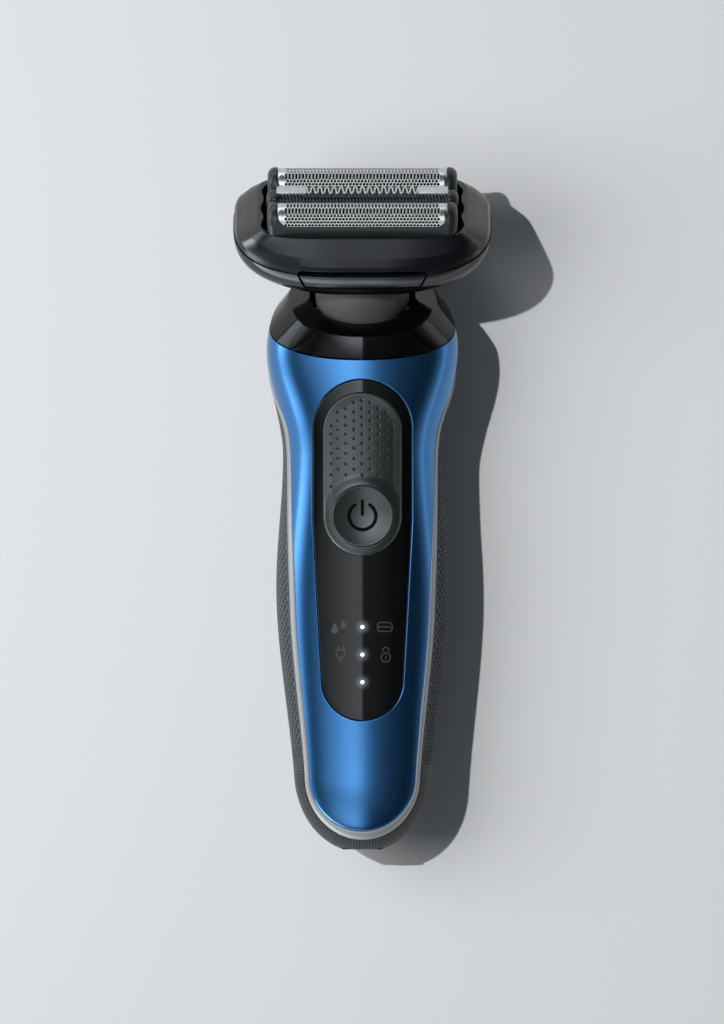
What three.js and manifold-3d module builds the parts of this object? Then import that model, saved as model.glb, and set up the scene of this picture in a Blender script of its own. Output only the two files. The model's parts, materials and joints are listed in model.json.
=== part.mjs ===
// Cordless foil shaver with a rocking head, lying on its back.
//
// Millimetres. +Z is up, away from the surface it lies on; +Y runs from the charging socket to the
// head; X runs across. The handle is lofted from rounded sections along Y. The head is modelled
// upright in a group of its own, which leans forward about the neck's centre.

import * as THREE from 'three';
import { mergeVertices } from 'three/addons/utils/BufferGeometryUtils.js';
import Module from 'manifold-3d';

const wasm = await Module();
wasm.setup();

const { cos, sin, acos, abs, sign, min, max, PI } = Math;
const DEG = PI / 180;

// ---------------------------------------------------------------- driving dimensions

// clearances
const jointLine = 0.3;       // open line between two fitted casing pieces
const runningGap = 0.35;     // beside a piece that slides or turns
const seatGap = 0.05;        // between a piece and the flat that it rests on
const pinGap = 0.15;         // round a pin that something turns on

// handle: half widths and surface heights, each with its place along Y
const handleTop = 144;       // the loft runs on to here, and the collar's plane cuts it
const footY = 8;
const footHalfWidth = 15.8;
const gripY = 62;
const gripHalfWidth = 20.4;
const waistY = 93;
const waistHalfWidth = 18.8;
const shoulderY = 118;
const shoulderHalfWidth = 22.7;
const crownY = 136;
const crownHalfWidth = 19.4;
const endRoundLength = 17;   // the rounded end starts this far from the socket face
const endRoundReach = 17.8;  // and would close this far from there
const frontAtFoot = 30.2;
const frontAtShoulder = 34.4;
const backAtFoot = 9.5;
const backFlatStart = 48;
const backFlatEnd = 104;
const backAtCrown = 3.4;
const backFlatDepth = 1.2;   // how deep the level surface cuts the rounded back
const middleAtFoot = 20;
const middleAtGrip = 16.8;
const middleAtCrown = 21.5;
const frontFullness = 2.3;
const backFullness = 2.5;
const endFullness = 2.6;

// handle casing; angles are degrees round the section, up from its middle line
const casingWall = 2.4;
const gripSkin = 1.6;
const rearWall = 1.8;
const shellAtFoot = 12.6;    // half width of the front shell
const shellEndInset = 4.5;   // from the socket face to the shell's rounded end
const shellFootEndY = 58;
const shellWaistY = 98;
const shellWaistAngle = 25.5;
const shellCrownY = 120;
const shellCrownAngle = -12;
const trimSpread = 7.3;      // how far round the section the trim ring reaches past the shell
const trimEndInset = 2.2;
const seatSpread = 0.2;      // the seat gap as an angle

// control panel, thumb pad, button and lights
const panelTopY = 110.9;
const panelHalfWidth = 11.8;
const panelStraightY = 78;
const panelFootHalfWidth = 9.7;
const panelFootY = 40;
const panelBottomY = 30.5;
const panelThickness = 1.8;
const panelLedge = 1.5;       // the shell's ledge under the panel's edge
const padMargin = 2;         // from the button's side to the pad's
const padTopY = 107.9;
const padThickness = 0.9;
const padProud = 0.35;
const buttonY = 78.7;
const buttonRadius = 7.3;
const buttonTravel = 0.6;
const buttonDish = 0.8;
const buttonEdge = 0.4;      // rounding of the button's top edge
const buttonSkirt = casingWall + 1;
const buttonFlangeOverhang = 1.2;
const buttonFlangeThickness = 0.8;
const buttonStemRadius = 1.5;
const padHalfWidth = buttonRadius + padMargin;
const lightRadius = 0.55;
const firstLightY = 39.6;
const lightPitch = 6.5;

// neck, collar and gimbal; heights are along the neck from the collar's rim plane
const neckLean = 34;         // degrees that the head leans to the front
const neckY = 130.6;
const neckZ = 20;
const neckRadius = 11.1;
const neckGap = 1.3;
const neckTubeRadius = 7.2;
const neckWall = 1.8;
const neckTubeBore = neckTubeRadius - neckWall;
const collarBottom = -4.5;
const collarCreaseHeight = -0.56;
const collarCreaseHalfWidth = 18.8;
const collarCreaseFront = 16.5;
const collarCreaseBack = 15.6;
const collarRim = 0.5;
const collarLip = 0.5;       // width of the level rim round the neck's gap
const collarBelly = 0.62;    // how far the collar's lower band swells out from the crease
const pivotDepth = 5;        // the gimbal's centre lies this far below the rim plane
const gimbalInner = neckTubeRadius + 0.7;
const gimbalOuter = gimbalInner + 1.9;
const gimbalThickness = 2.6;
const pinRadius = 1;
const armThickness = 2;
const armBoss = 1.7;         // radius of the boss round a pitch pin

// inside the handle
const deckZ = 20;
const deckThickness = 1.2;
const deckHalfWidth = 10.5;
const railThickness = 1.4;
const railDrop = 3;          // of the rails and end walls below the battery's middle
const wallThickness = 1.2;
const bulkheadThickness = 1.6;
const sealRadius = 3.15;
const boardThickness = 1.2;
const boardHalfWidth = 9.5;
const boardStartY = 27;
const batteryRadius = 7;
const batteryLength = 50;
const batteryStartY = 34;
const batteryZ = deckZ - jointLine - batteryRadius;
const contactThickness = 0.5;
const switchSide = 6;
const switchHeight = 3;
const motorRadius = 8;
const motorLength = 22;
const motorFlat = 6.8;
const shaftRadius = 1;
const eccentricRadius = 3;
const eccentricThickness = 2;
const eccentricOffset = 0.45;
const drivePinRadius = 0.8;
const drivePinLength = 4.4;
const shaftReach = 3.4;       // of the shaft between the motor and the eccentric
const drivePinToPivot = 3.6;  // clear length past the drive pin's tip
const motorEndToPivot = shaftReach + eccentricThickness + drivePinLength + drivePinToPivot;
const socketHalfWidth = 4.6;
const socketHalfHeight = 3.4;
const socketDepth = 12;
const socketWall = 1;
const socketPinRadius = 0.8;
const socketPinSpread = 2.2;
const socketMouthDepth = 8;
const sealBand = 0.7;
const sealStart = 2.4;
const sealLength = 1;
const screwRadius = 0.9;
const screwHeadRadius = 1.7;
const screwHeadHeight = 1;
const neckScrewTip = 4;
const neckSkirt = -1.3;      // height at which the neck's drum begins
const neckFloor = 0.8;       // height of the drum's floor
const leverRoomHalfWidth = 4.6;
const leverRoomHalfDepth = 4;

// head shell; heights are along the neck from the collar's rim plane
const headBottom = 9.6;
const headBottomWall = 1.6;
const partingAtFront = 17;
const partingRise = 2.2;     // the parting line climbs by this much to the head's ends
const headFullness = 3.5;
const undersideAcross = 12;  // how far the head's ends are drawn in at its underside
const undersideDeep = 2.4;   // and its front and rear
const headHalfWidth = 30.4;
const headHalfDepth = 16.4;
const headWall = 1.8;
const headDeck = 15.2;
const headDeckThickness = 1.2;
const headFloor = headBottom + headBottomWall;
const headDeckTop = headDeck + headDeckThickness;
const releaseHalfWidth = 14.8;
const releaseBottom = 12.9;
const releaseTop = 16.5;
const releaseSink = 0.1;
const releaseDepth = 2.6;
const releaseTravel = 1;
const releaseFlange = 1.2;
const releaseFlangeDepth = 0.8;

// cassette
const frameTop = 24.9;
const creaseAtFront = 21.3;
const creaseRise = 2.6;
const openingWave = 0.8;
const creaseHalfWidth = headHalfWidth - 2.5;
const creaseHalfDepth = headHalfDepth - 0.8;
const rimWidth = 0.8;        // from the opening to the frame's outer edge at its top
const floorThickness = 1;
const floorBottom = headDeckTop + 0.5;
const floorTop = floorBottom + floorThickness;
const frameEndWidth = 8.4;   // from the head's end to a carrier's
const elementPitch = 7.6;    // from the trimmer's middle to each foil's middle
const foilRadius = 4.1;
const foilThickness = 0.3;
const floatTravel = 2.2;
const carrierBottom = floorTop + floatTravel + jointLine;
const foilAxis = 26.35;
const foilLegAngle = 10;
const capWidth = 1.8;         // from a foil's end to its carrier's
const carrierHalfWidth = headHalfWidth - frameEndWidth;
const foilHalfLength = carrierHalfWidth - capWidth;
const carrierHalfDepth = 4.6;
const carrierShoulder = 25.9;
const trimmerHalfWidth = carrierHalfWidth + 0.6;
const trimmerHalfDepth = 2.65;
const trimmerShoulder = 28;
const openingHalfWidth = trimmerHalfWidth + 1;
const openingHalfDepth = elementPitch + carrierHalfDepth + 0.55;
const combTop = 29.5;
const combThickness = 0.5;
const toothPitch = 1.7;
const toothCount = 16;
const toothSlot = 0.75;
const toothDepth = 1.3;
const stroke = 1.2;
const cutterHalfLength = foilHalfLength - 3.2;
const cutterBayHalfWidth = cutterHalfLength + stroke + 0.4;
const cutterRadius = 3.3;
const cutterFins = 8;
const finThickness = 0.6;
const driveBlockBottom = headDeckTop + floatTravel + 0.4;
const driveBlockHalfWidth = 2.6;
const driveBlockHalfDepth = 1.6;
const bridgeBottom = headFloor + 1.4;
const bridgeThickness = 1.8;
const bridgeHalfWidth = 9.5;
const bridgeHalfDepth = 9.4;
const bridgeArmHalfWidth = 2.6;
const bridgePinTop = 20.1;
const bridgePinRadius = 0.8;
const driveSlotRoof = bridgePinTop + floatTravel + jointLine;
const releaseRibThickness = 0.9;
const releaseRibY = -bridgeHalfDepth - releaseRibThickness - 0.6;
const releaseSpringZ = (releaseBottom + headDeck) / 2;
const leverBall = 0.75;
const leverPinRadius = 0.8;
const leverPinRise = 2.6;     // of the lever's pin over the gimbal's centre
const forkGap = 3;            // half the width between the fork's prongs
const prongThickness = 1;
const forkStart = 3.6;        // from the lever's pin down to the fork's root
const forkLength = 5;
const forkDepth = 3.2;
const springRadius = 0.85;
const springWire = 0.22;
const springTurns = 3;
const springPocketRadius = 1.3;
const springPocketDepth = 3.6;
const springTop = carrierBottom + springPocketDepth;
const capProud = 0.25;        // of the carriers' end caps over the foils

// facets
const aroundHandle = 24;
const aroundHead = 24;
const aroundNeck = 24;
const aroundRound = 16;
const handleStations = 10;
const aroundSmall = 8;

// ---------------------------------------------------------------- solids

// A closed geometry as a solid for joining and cutting.
function solid(geometry) {
  const bare = geometry.clone();
  bare.deleteAttribute('normal');
  bare.deleteAttribute('uv');
  const merged = mergeVertices(bare, 1e-5);
  const vertProperties = Float32Array.from(merged.attributes.position.array);
  const triVerts = Uint32Array.from(merged.index.array);
  if (signedVolume(vertProperties, triVerts) < 0) triVerts.reverse();
  return new wasm.Manifold(new wasm.Mesh({ numProp: 3, vertProperties, triVerts }));
}

// Six times the volume inside the triangles: negative where the faces point inwards.
function signedVolume(vertices, triangles) {
  const corner = (t) => new THREE.Vector3().fromArray(vertices, 3 * triangles[t]);
  let volume = 0;
  for (let t = 0; t < triangles.length; t += 3) {
    volume += corner(t).dot(corner(t + 1).cross(corner(t + 2)));
  }
  return volume;
}

function join(first, ...others) {
  return others.reduce((whole, next) => whole.add(next), first);
}

function cut(first, ...others) {
  return others.reduce((rest, next) => rest.subtract(next), first);
}

function geometryOf(shape) {
  const { vertProperties, triVerts, numProp } = shape.getMesh();
  const geometry = new THREE.BufferGeometry();
  const position = new Float32Array((vertProperties.length / numProp) * 3);
  for (let i = 0; i < position.length / 3; i++) {
    for (let k = 0; k < 3; k++) position[3 * i + k] = vertProperties[numProp * i + k];
  }
  geometry.setAttribute('position', new THREE.BufferAttribute(position, 3));
  geometry.setIndex(new THREE.BufferAttribute(Uint32Array.from(triVerts), 1));
  return geometry;
}

// A box between two corners.
function box(x0, x1, y0, y1, z0, z1) {
  const geometry = new THREE.BoxGeometry(x1 - x0, y1 - y0, z1 - z0);
  geometry.translate((x0 + x1) / 2, (y0 + y1) / 2, (z0 + z1) / 2);
  return solid(geometry);
}

// A round bar along one axis, from a to b on that axis, through the point (x, y, z) elsewhere.
function bar(axis, radius, a, b, x, y, z, segments = aroundSmall) {
  const geometry = new THREE.CylinderGeometry(radius, radius, b - a, segments);
  const middle = (a + b) / 2;
  if (axis === 'x') geometry.rotateZ(PI / 2).translate(middle, y, z);
  if (axis === 'y') geometry.translate(x, middle, z);
  if (axis === 'z') geometry.rotateX(PI / 2).translate(x, y, middle);
  return solid(geometry);
}

// A turned piece round the vertical through (x, y): the profile is [radius, height] points.
function turned(profile, x, y, segments = aroundRound) {
  const points = profile.map(([r, z]) => new THREE.Vector2(r, z));
  const geometry = new THREE.LatheGeometry(points, segments);
  geometry.rotateX(PI / 2).translate(x, y, 0);
  return solid(geometry);
}

// An outline of [x, y] points raised from z0 to z1.
function prism(outline, z0, z1) {
  const shape = new THREE.Shape(outline.map(([x, y]) => new THREE.Vector2(x, y)));
  const geometry = new THREE.ExtrudeGeometry(shape, { depth: z1 - z0, bevelEnabled: false });
  geometry.translate(0, 0, z0);
  return solid(geometry);
}

// A closed solid through a list of rings with equal numbers of points, its ends closed by fans:
// from their middles, or from their first points.
function loft(rings, fansFromFirst = false) {
  const count = rings[0].length;
  const points = rings.flat();
  const index = [];
  for (let r = 0; r + 1 < rings.length; r++) {
    for (let i = 0; i < count; i++) {
      const j = (i + 1) % count;
      const a = r * count;
      const b = a + count;
      index.push(a + i, a + j, b + j, a + i, b + j, b + i);
    }
  }
  for (const [r, flip] of [[0, true], [rings.length - 1, false]]) {
    const centre = new THREE.Vector3();
    rings[r].forEach((p) => centre.add(p));
    const hub = fansFromFirst ? r * count : points.push(centre.divideScalar(count)) - 1;
    for (let i = 0; i < count; i++) {
      const a = r * count + i;
      const b = r * count + ((i + 1) % count);
      if (a !== hub && b !== hub) index.push(hub, flip ? b : a, flip ? a : b);
    }
  }
  const geometry = new THREE.BufferGeometry().setFromPoints(points);
  geometry.setIndex(index);
  return solid(geometry);
}

// A point of a superellipse: 2 is an ellipse, and larger values fill out the corners.
function superellipse(angle, a, b, fullness) {
  const c = cos(angle);
  const s = sin(angle);
  return [a * sign(c) * abs(c) ** (2 / fullness), b * sign(s) * abs(s) ** (2 / fullness)];
}

function angles(count) {
  return Array.from({ length: count }, (_, i) => (2 * PI * i) / count);
}

// ---------------------------------------------------------------- pieces

const finishes = {
  blue: { color: 0x3f7fc4, roughness: 0.3, metalness: 0.6 },
  silver: { color: 0xb4b8ba, roughness: 0.35, metalness: 0.8 },
  rubber: { color: 0x5a5f63, roughness: 0.85, metalness: 0 },
  gloss: { color: 0x14171a, roughness: 0.12, metalness: 0 },
  satin: { color: 0x2b3035, roughness: 0.4, metalness: 0 },
  soft: { color: 0x44484a, roughness: 0.7, metalness: 0 },
  grey: { color: 0x4b4b49, roughness: 0.7, metalness: 0 },
  steel: { color: 0xc9cccd, roughness: 0.25, metalness: 1 },
  brass: { color: 0xb59a5a, roughness: 0.35, metalness: 1 },
  board: { color: 0x1f5a36, roughness: 0.5, metalness: 0 },
  wrap: { color: 0x2f7d5c, roughness: 0.4, metalness: 0 },
  light: { color: 0xf4f8ff, roughness: 0.2, metalness: 0 },
};

const shaver = new THREE.Group();
const head = new THREE.Group();
head.position.set(0, neckY, neckZ);
head.rotation.x = -(90 - neckLean) * DEG;
shaver.add(head);

function piece(parent, name, shape, finish) {
  const mesh = new THREE.Mesh(geometryOf(shape), new THREE.MeshStandardMaterial(finishes[finish]));
  mesh.name = name;
  parent.add(mesh);
}

// ---------------------------------------------------------------- handle surface

// Eased value between stations [place, value] along Y.
function eased(y, stations) {
  if (y <= stations[0][0]) return stations[0][1];
  for (let i = 1; i < stations.length; i++) {
    const [y0, v0] = stations[i - 1];
    const [y1, v1] = stations[i];
    if (y <= y1) return v0 + (v1 - v0) * THREE.MathUtils.smoothstep(y, y0, y1);
  }
  return stations[stations.length - 1][1];
}

const halfWidthAt = (y) => eased(y, [[footY, footHalfWidth], [gripY, gripHalfWidth],
  [waistY, waistHalfWidth], [shoulderY, shoulderHalfWidth], [crownY, crownHalfWidth]]);
const frontAt = (y) => eased(y, [[footY, frontAtFoot], [shoulderY, frontAtShoulder]]);
const backAt = (y) => eased(y, [[footY, backAtFoot], [backFlatStart, -backFlatDepth],
  [backFlatEnd, -backFlatDepth], [crownY, backAtCrown]]);
const middleAt = (y) => eased(y, [[footY, middleAtFoot], [gripY, middleAtGrip],
  [waistY, middleAtGrip], [shoulderY, middleAtCrown]]);

// How far the section has shrunk at y in the rounded end: an arc of the given fullness.
function endScale(y, inset, fullness) {
  if (y >= endRoundLength) return 1;
  const t = (endRoundLength - y) / (endRoundReach - inset);
  return (1 - min(1, t) ** fullness) ** (1 / fullness);
}

// Point of the handle's surface at an angle round its section, sunk by inset.
function handlePoint(angle, y, inset) {
  const middle = middleAt(y);
  const front = cosineSide(angle) ? frontAt(y) - inset - middle : middle - backAt(y) - inset;
  const fullness = cosineSide(angle) ? frontFullness : backFullness;
  const half = (halfWidthAt(y) - inset) * endScale(y, inset, 2);
  const height = front * endScale(y, inset, endFullness);
  const [x, z] = superellipse(angle, half, height, fullness);
  return new THREE.Vector3(x, y, max(middle + z, inset));
}

// True on the front half of a section.
function cosineSide(angle) {
  return sin(angle) >= 0;
}

// The handle's body, sunk by inset all round.
function handleBody(inset) {
  const places = [];
  const startAngle = acos((endRoundLength - inset) / (endRoundReach - inset));
  const endSteps = 3;
  for (let i = 0; i < endSteps; i++) {
    const a = startAngle + ((PI / 2 - startAngle) * i) / endSteps;
    places.push(endRoundLength - (endRoundReach - inset) * cos(a));
  }
  for (let i = 0; i <= handleStations; i++) {
    places.push(endRoundLength + ((handleTop - endRoundLength) * i) / handleStations);
  }
  return loft(places.map((y) => angles(aroundHandle).map((a) => handlePoint(a, y, inset))));
}

const outerBody = handleBody(0);
const gripSeat = handleBody(gripSkin);
const rearBody = handleBody(gripSkin + seatGap);
const shellBore = handleBody(casingWall);
const rearBore = handleBody(gripSkin + seatGap + rearWall);

const lean = neckLean * DEG;
const alongNeck = (y, z) => cos(lean) * (y - neckY) + sin(lean) * (z - neckZ);
const beforeNeck = (y, z) => cos(lean) * (z - neckZ) - sin(lean) * (y - neckY);

// Everything beyond the plane at a height along the neck.
function beyond(height) {
  const reach = 80;
  const geometry = new THREE.BoxGeometry(2 * reach, 2 * reach, reach);
  geometry.translate(0, 0, reach / 2 + height);
  geometry.rotateX(-(90 - neckLean) * DEG).translate(0, neckY, neckZ);
  return solid(geometry);
}

// Where the handle's surface line at an angle meets the plane at a height along the neck,
// in the head's own frame.
function meetingPoint(angle, height, inset) {
  let low = 0;
  let high = handleTop;
  for (let i = 0; i < 40; i++) {
    const y = (low + high) / 2;
    const p = handlePoint(angle, y, inset);
    if (alongNeck(p.y, p.z) < height) low = y;
    else high = y;
  }
  const p = handlePoint(angle, low, inset);
  return new THREE.Vector3(p.x, -beforeNeck(p.y, p.z), height);
}

// ---------------------------------------------------------------- casing

// The front shell's edge at y as degrees up from the section's middle line, moved down by spread.
// It closes to the top of the section at endInset from the socket face.
function edgeAngle(y, spread, endInset) {
  const t = max(0, (endRoundLength - y) / (endRoundLength - endInset));
  const arch = (1 - min(1, t) ** 2) ** 0.5;
  const half = halfWidthAt(min(y, endRoundLength)) * endScale(y, 0, 2);
  const foot = acos((shellAtFoot * arch / half) ** (frontFullness / 2)) / DEG;
  return eased(y, [[shellFootEndY, foot], [shellWaistY, shellWaistAngle],
    [shellCrownY, shellCrownAngle]]) - spread * arch;
}

// Everything over the front shell, or over a wider band with the given spread and end: a fan of
// the section from a hub under its top out past its surface.
function overFront(spread, endInset) {
  const reach = 1;
  const hubHeight = 0.7;
  const around = 10;
  const bluntness = 8 * DEG;
  const endLength = endRoundLength - endInset;
  const places = [];
  const endSteps = 6;
  for (let i = 0; i < endSteps; i++) {
    places.push(endRoundLength - endLength * cos(bluntness + ((PI / 2 - bluntness) * i) / endSteps));
  }
  for (const [from, to, steps] of [[endRoundLength, shellFootEndY, 3], [shellFootEndY, shellWaistY, 5],
    [shellWaistY, shellCrownY, 6], [shellCrownY, handleTop, 2]]) {
    for (let i = 0; i < steps; i++) places.push(from + ((to - from) * i) / steps);
  }
  places.push(handleTop);
  return loft(places.map((y) => {
    const low = edgeAngle(y, spread, endInset) * DEG;
    const top = handlePoint(PI / 2, y, 0).z;
    const ring = [new THREE.Vector3(0, y, THREE.MathUtils.lerp(middleAt(y), top, hubHeight))];
    for (let i = 0; i <= around; i++) ring.push(handlePoint(low + ((PI - 2 * low) * i) / around, y, -reach));
    return ring;
  }), true);
}

const aboveAll = frontAtShoulder + 10;
const overShell = overFront(0, shellEndInset);
const overShellGap = overFront(seatSpread, shellEndInset - seatGap);
const overTrim = overFront(trimSpread, trimEndInset);
const overTrimGap = overFront(trimSpread + seatSpread, trimEndInset - seatGap);

// Outline of the control panel grown by a margin.
function panelOutline(margin) {
  const right = [];
  const footLength = panelFootY - panelBottomY + margin;
  const steps = 7;
  for (let i = 0; i < steps; i++) {
    const a = (PI / 2) * (1 - i / steps);
    right.push([(panelFootHalfWidth + margin) * cos(a), panelFootY - footLength * sin(a)]);
  }
  right.push([panelFootHalfWidth + margin, panelFootY]);
  const roundY = panelTopY - panelHalfWidth;
  right.push([panelHalfWidth + margin, panelStraightY]);
  for (let i = 0; i <= steps; i++) {
    const a = (PI / 2) * (i / steps);
    right.push([(panelHalfWidth + margin) * cos(a), roundY + (panelHalfWidth + margin) * sin(a)]);
  }
  const left = right.slice(1, -1).reverse().map(([x, y]) => [-x, y]);
  right[right.length - 1][0] = 0;
  right[0][0] = 0;
  return right.concat(left);
}

// Outline of the thumb pad: a slot with round ends, its lower end round the button's centre.
function padOutline(margin) {
  const steps = 12;
  const radius = padHalfWidth + margin;
  const topY = padTopY - padHalfWidth;
  const outline = [];
  for (let i = 0; i <= steps; i++) {
    const a = (PI * i) / steps;
    outline.push([radius * cos(a), topY + radius * sin(a)]);
  }
  for (let i = 0; i <= steps; i++) {
    const a = PI + (PI * i) / steps;
    outline.push([radius * cos(a), buttonY + radius * sin(a)]);
  }
  return outline;
}

const collarCut = beyond(collarBottom);
const buttonHole = bar('z', buttonRadius + runningGap, deckZ, aboveAll, 0, buttonY, 0, aroundRound);

function frontShell() {
  const wall = outerBody.intersect(overShell).subtract(shellBore);
  const recess = prism(panelOutline(seatGap), deckZ, aboveAll)
    .subtract(handleBody(panelThickness + seatGap));
  const window = prism(panelOutline(-panelLedge), deckZ, aboveAll);
  return cut(wall, recess, window, collarCut);
}

function trimRing() {
  return cut(outerBody.intersect(overTrim), overShellGap, shellBore, collarCut);
}

function rearShell() {
  return cut(rearBody, rearBore, overTrimGap, collarCut, socketHole(), sealGroove(seatGap));
}

function grip() {
  return cut(outerBody, gripSeat, overTrimGap, collarCut, socketHole(), sealGroove(seatGap));
}

function controlPanel() {
  const plate = outerBody.intersect(prism(panelOutline(0), deckZ, aboveAll))
    .subtract(handleBody(panelThickness));
  const padRecess = prism(padOutline(seatGap), deckZ, aboveAll)
    .subtract(handleBody(padThickness + seatGap));
  const lights = lightPlaces().map((y) => bar('z', lightRadius + seatGap, deckZ, aboveAll, 0, y, 0));
  return cut(plate, padRecess, buttonHole, ...lights);
}

function thumbPad() {
  const slab = handleBody(-padProud).intersect(prism(padOutline(0), deckZ, aboveAll));
  return cut(slab, handleBody(padThickness), buttonHole);
}

function lightPlaces() {
  return [0, 1, 2].map((i) => firstLightY + i * lightPitch);
}

// Collar: from the handle's plane through the crease ring to the rim round the neck.
function collar() {
  const ring = angles(aroundHandle);
  const crease = (angle, inset) => {
    const depth = cosineSide(angle) ? collarCreaseFront : collarCreaseBack;
    const [x, f] = superellipse(angle, collarCreaseHalfWidth - inset, depth - inset, frontFullness);
    return [x, f];
  };
  const level = (height, inset) => ring.map((a) => {
    const [x, f] = crease(a, inset);
    return new THREE.Vector3(x, -f, height);
  });
  const low = collarBottom + jointLine;
  const half = (low + collarCreaseHeight) / 2;
  const belly = (inset) => ring.map((a) => {
    const p = meetingPoint(a, low, inset);
    const [x, f] = crease(a, inset);
    return new THREE.Vector3(x, -f, half).lerp(new THREE.Vector3(p.x, p.y, half), collarBelly);
  });
  const rimRadius = neckRadius + neckGap + collarLip;
  const rim = ring.map((a) => new THREE.Vector3(rimRadius * cos(a), -rimRadius * sin(a), collarRim));
  const outside = loft([ring.map((a) => meetingPoint(a, low, 0)), belly(0),
    level(collarCreaseHeight, 0), rim]);
  const roof = collarCreaseHeight - casingWall / 2;
  const inside = loft([ring.map((a) => meetingPoint(a, low - 1, casingWall)), belly(casingWall),
    level(roof, casingWall)]);
  const hole = bar('z', neckRadius + neckGap, low, collarRim + 1, 0, 0, 0, aroundHandle);
  return cut(outside, inside, hole);
}

piece(shaver, 'front_shell', frontShell(), 'blue');
piece(shaver, 'trim_ring', trimRing(), 'silver');
piece(shaver, 'rear_shell', rearShell(), 'satin');
piece(shaver, 'grip', grip(), 'rubber');
piece(shaver, 'control_panel', controlPanel(), 'gloss');
piece(shaver, 'thumb_pad', thumbPad(), 'soft');
piece(head, 'collar', collar(), 'gloss');

// ---------------------------------------------------------------- charging socket

// The socket's way through the casing, with its middle on the handle's middle line.
function socketHole() {
  const z = middleAtFoot;
  const w = socketHalfWidth + seatGap;
  const h = socketHalfHeight + seatGap;
  return box(-w, w, -1, socketDepth, z - h, z + h);
}

function chargingSocket() {
  const w = socketHalfWidth;
  const h = socketHalfHeight;
  const z = middleAtFoot;
  const cup = box(-w, w, jointLine, socketDepth, z - h, z + h);
  const mouth = box(-w + socketWall, w - socketWall, 0, socketMouthDepth, z - h + socketWall,
    z + h - socketWall);
  const pinHoles = [-1, 1].map((side) => socketPin(side, seatGap));
  return cut(cup, mouth, ...pinHoles);
}

function socketPin(side, grow) {
  return bar('y', socketPinRadius + grow, 4, socketDepth + 2, side * socketPinSpread, 0, middleAtFoot);
}

// Groove in the casing round the socket, which the gasket fills.
function sealGroove(grow) {
  const z = middleAtFoot;
  const w = socketHalfWidth + sealBand + grow;
  const h = socketHalfHeight + sealBand + grow;
  return box(-w, w, sealStart - grow, sealStart + sealLength + grow, z - h, z + h);
}

function socketSeal() {
  return sealGroove(0).subtract(socketHole());
}

piece(shaver, 'charging_socket', chargingSocket(), 'satin');
piece(shaver, 'socket_pin_left', socketPin(-1, 0), 'brass');
piece(shaver, 'socket_pin_right', socketPin(1, 0), 'brass');
piece(shaver, 'socket_seal', socketSeal(), 'rubber');

// ---------------------------------------------------------------- inside the handle

const pivotY = neckY - cos(lean) * pivotDepth;
const pivotZ = neckZ - sin(lean) * pivotDepth;
const boardZ = deckZ + deckThickness + seatGap;
const boardTop = boardZ + boardThickness;
const motorEnd = pivotY - motorEndToPivot;
const motorStart = motorEnd - motorLength;
const boardEnd = motorStart - 2;
const batteryEnd = batteryStartY + batteryLength;
const armInside = gimbalOuter + runningGap;
const armOutside = armInside + armThickness;

// Pins of the gimbal: pitch pins along X into the chassis arms, roll pins across into the neck.
function pitchPin(side, grow) {
  const a = gimbalInner + runningGap;
  const b = armOutside - jointLine;
  return bar('x', pinRadius + grow, min(side * a, side * b), max(side * a, side * b), 0, pivotY, pivotZ);
}

function chassis() {
  const railInside = batteryRadius + runningGap;
  const railOutside = railInside + railThickness;
  const plateStart = boardStartY;
  const deck = box(-deckHalfWidth, deckHalfWidth, plateStart, motorEnd, deckZ, deckZ + deckThickness);
  const floorZ = batteryZ - railDrop;
  const roots = deckZ + deckThickness / 2;
  const rails = [-1, 1].map((s) => box(min(s * railInside, s * railOutside),
    max(s * railInside, s * railOutside), batteryStartY - 2, motorEnd, floorZ, roots));
  const endWall = (y) => box(-railOutside, railOutside, y, y + wallThickness, floorZ, roots);
  const wallGap = contactThickness + 2 * seatGap;
  const bulkheadTop = motorFlat + pivotZ + 1;
  const bulkhead = box(-armOutside, armOutside, motorEnd + seatGap, motorEnd + bulkheadThickness, floorZ,
    bulkheadTop);
  const arm = (s) => {
    const [x0, x1] = [min(s * armInside, s * armOutside), max(s * armInside, s * armOutside)];
    const beam = box(x0, x1, motorEnd + seatGap, pivotY, pivotZ - armBoss + 0.1, pivotZ + armBoss - 0.1);
    return beam.add(bar('x', armBoss, x0, x1, 0, pivotY, pivotZ, aroundRound));
  };
  const cradle = box(-railOutside, railOutside, motorEnd - 3, motorEnd + seatGap, floorZ, bulkheadTop);
  const motorBay = bar('y', motorRadius + seatGap, motorStart - 1, motorEnd + seatGap, 0, 0, pivotZ,
    aroundRound);
  const shaftWay = bar('y', sealRadius + seatGap, motorEnd - 1, motorEnd + 3, 0, 0, pivotZ, aroundSmall);
  const body = join(deck, ...rails, endWall(batteryStartY - wallGap - wallThickness),
    endWall(batteryEnd + wallGap), bulkhead, cradle, arm(-1), arm(1));
  return cut(body, motorBay, shaftWay, pitchPin(-1, seatGap), pitchPin(1, seatGap),
    ...chassisScrewPlaces().map(([x, y]) => bar('z', screwRadius + seatGap, 0, aboveAll, x, y, 0)));
}

function chassisScrewPlaces() {
  const inset = 1.9;
  return [[-deckHalfWidth + inset, boardStartY + inset], [deckHalfWidth - inset, boardStartY + inset]];
}

// Pan-head screw standing on the board, its thread through the deck.
function chassisScrew(x, y) {
  const top = boardTop + seatGap;
  return turned([[0, top + screwHeadHeight], [screwHeadRadius, top + screwHeadHeight * 0.6],
    [screwHeadRadius, top], [screwRadius, top], [screwRadius, deckZ - 4], [0, deckZ - 5]], x, y, aroundSmall);
}

function circuitBoard() {
  const board = box(-boardHalfWidth, boardHalfWidth, boardStartY, boardEnd, boardZ, boardTop);
  return cut(board, ...chassisScrewPlaces().map(([x, y]) => bar('z', screwRadius + seatGap, 0, aboveAll, x, y, 0)));
}

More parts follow.
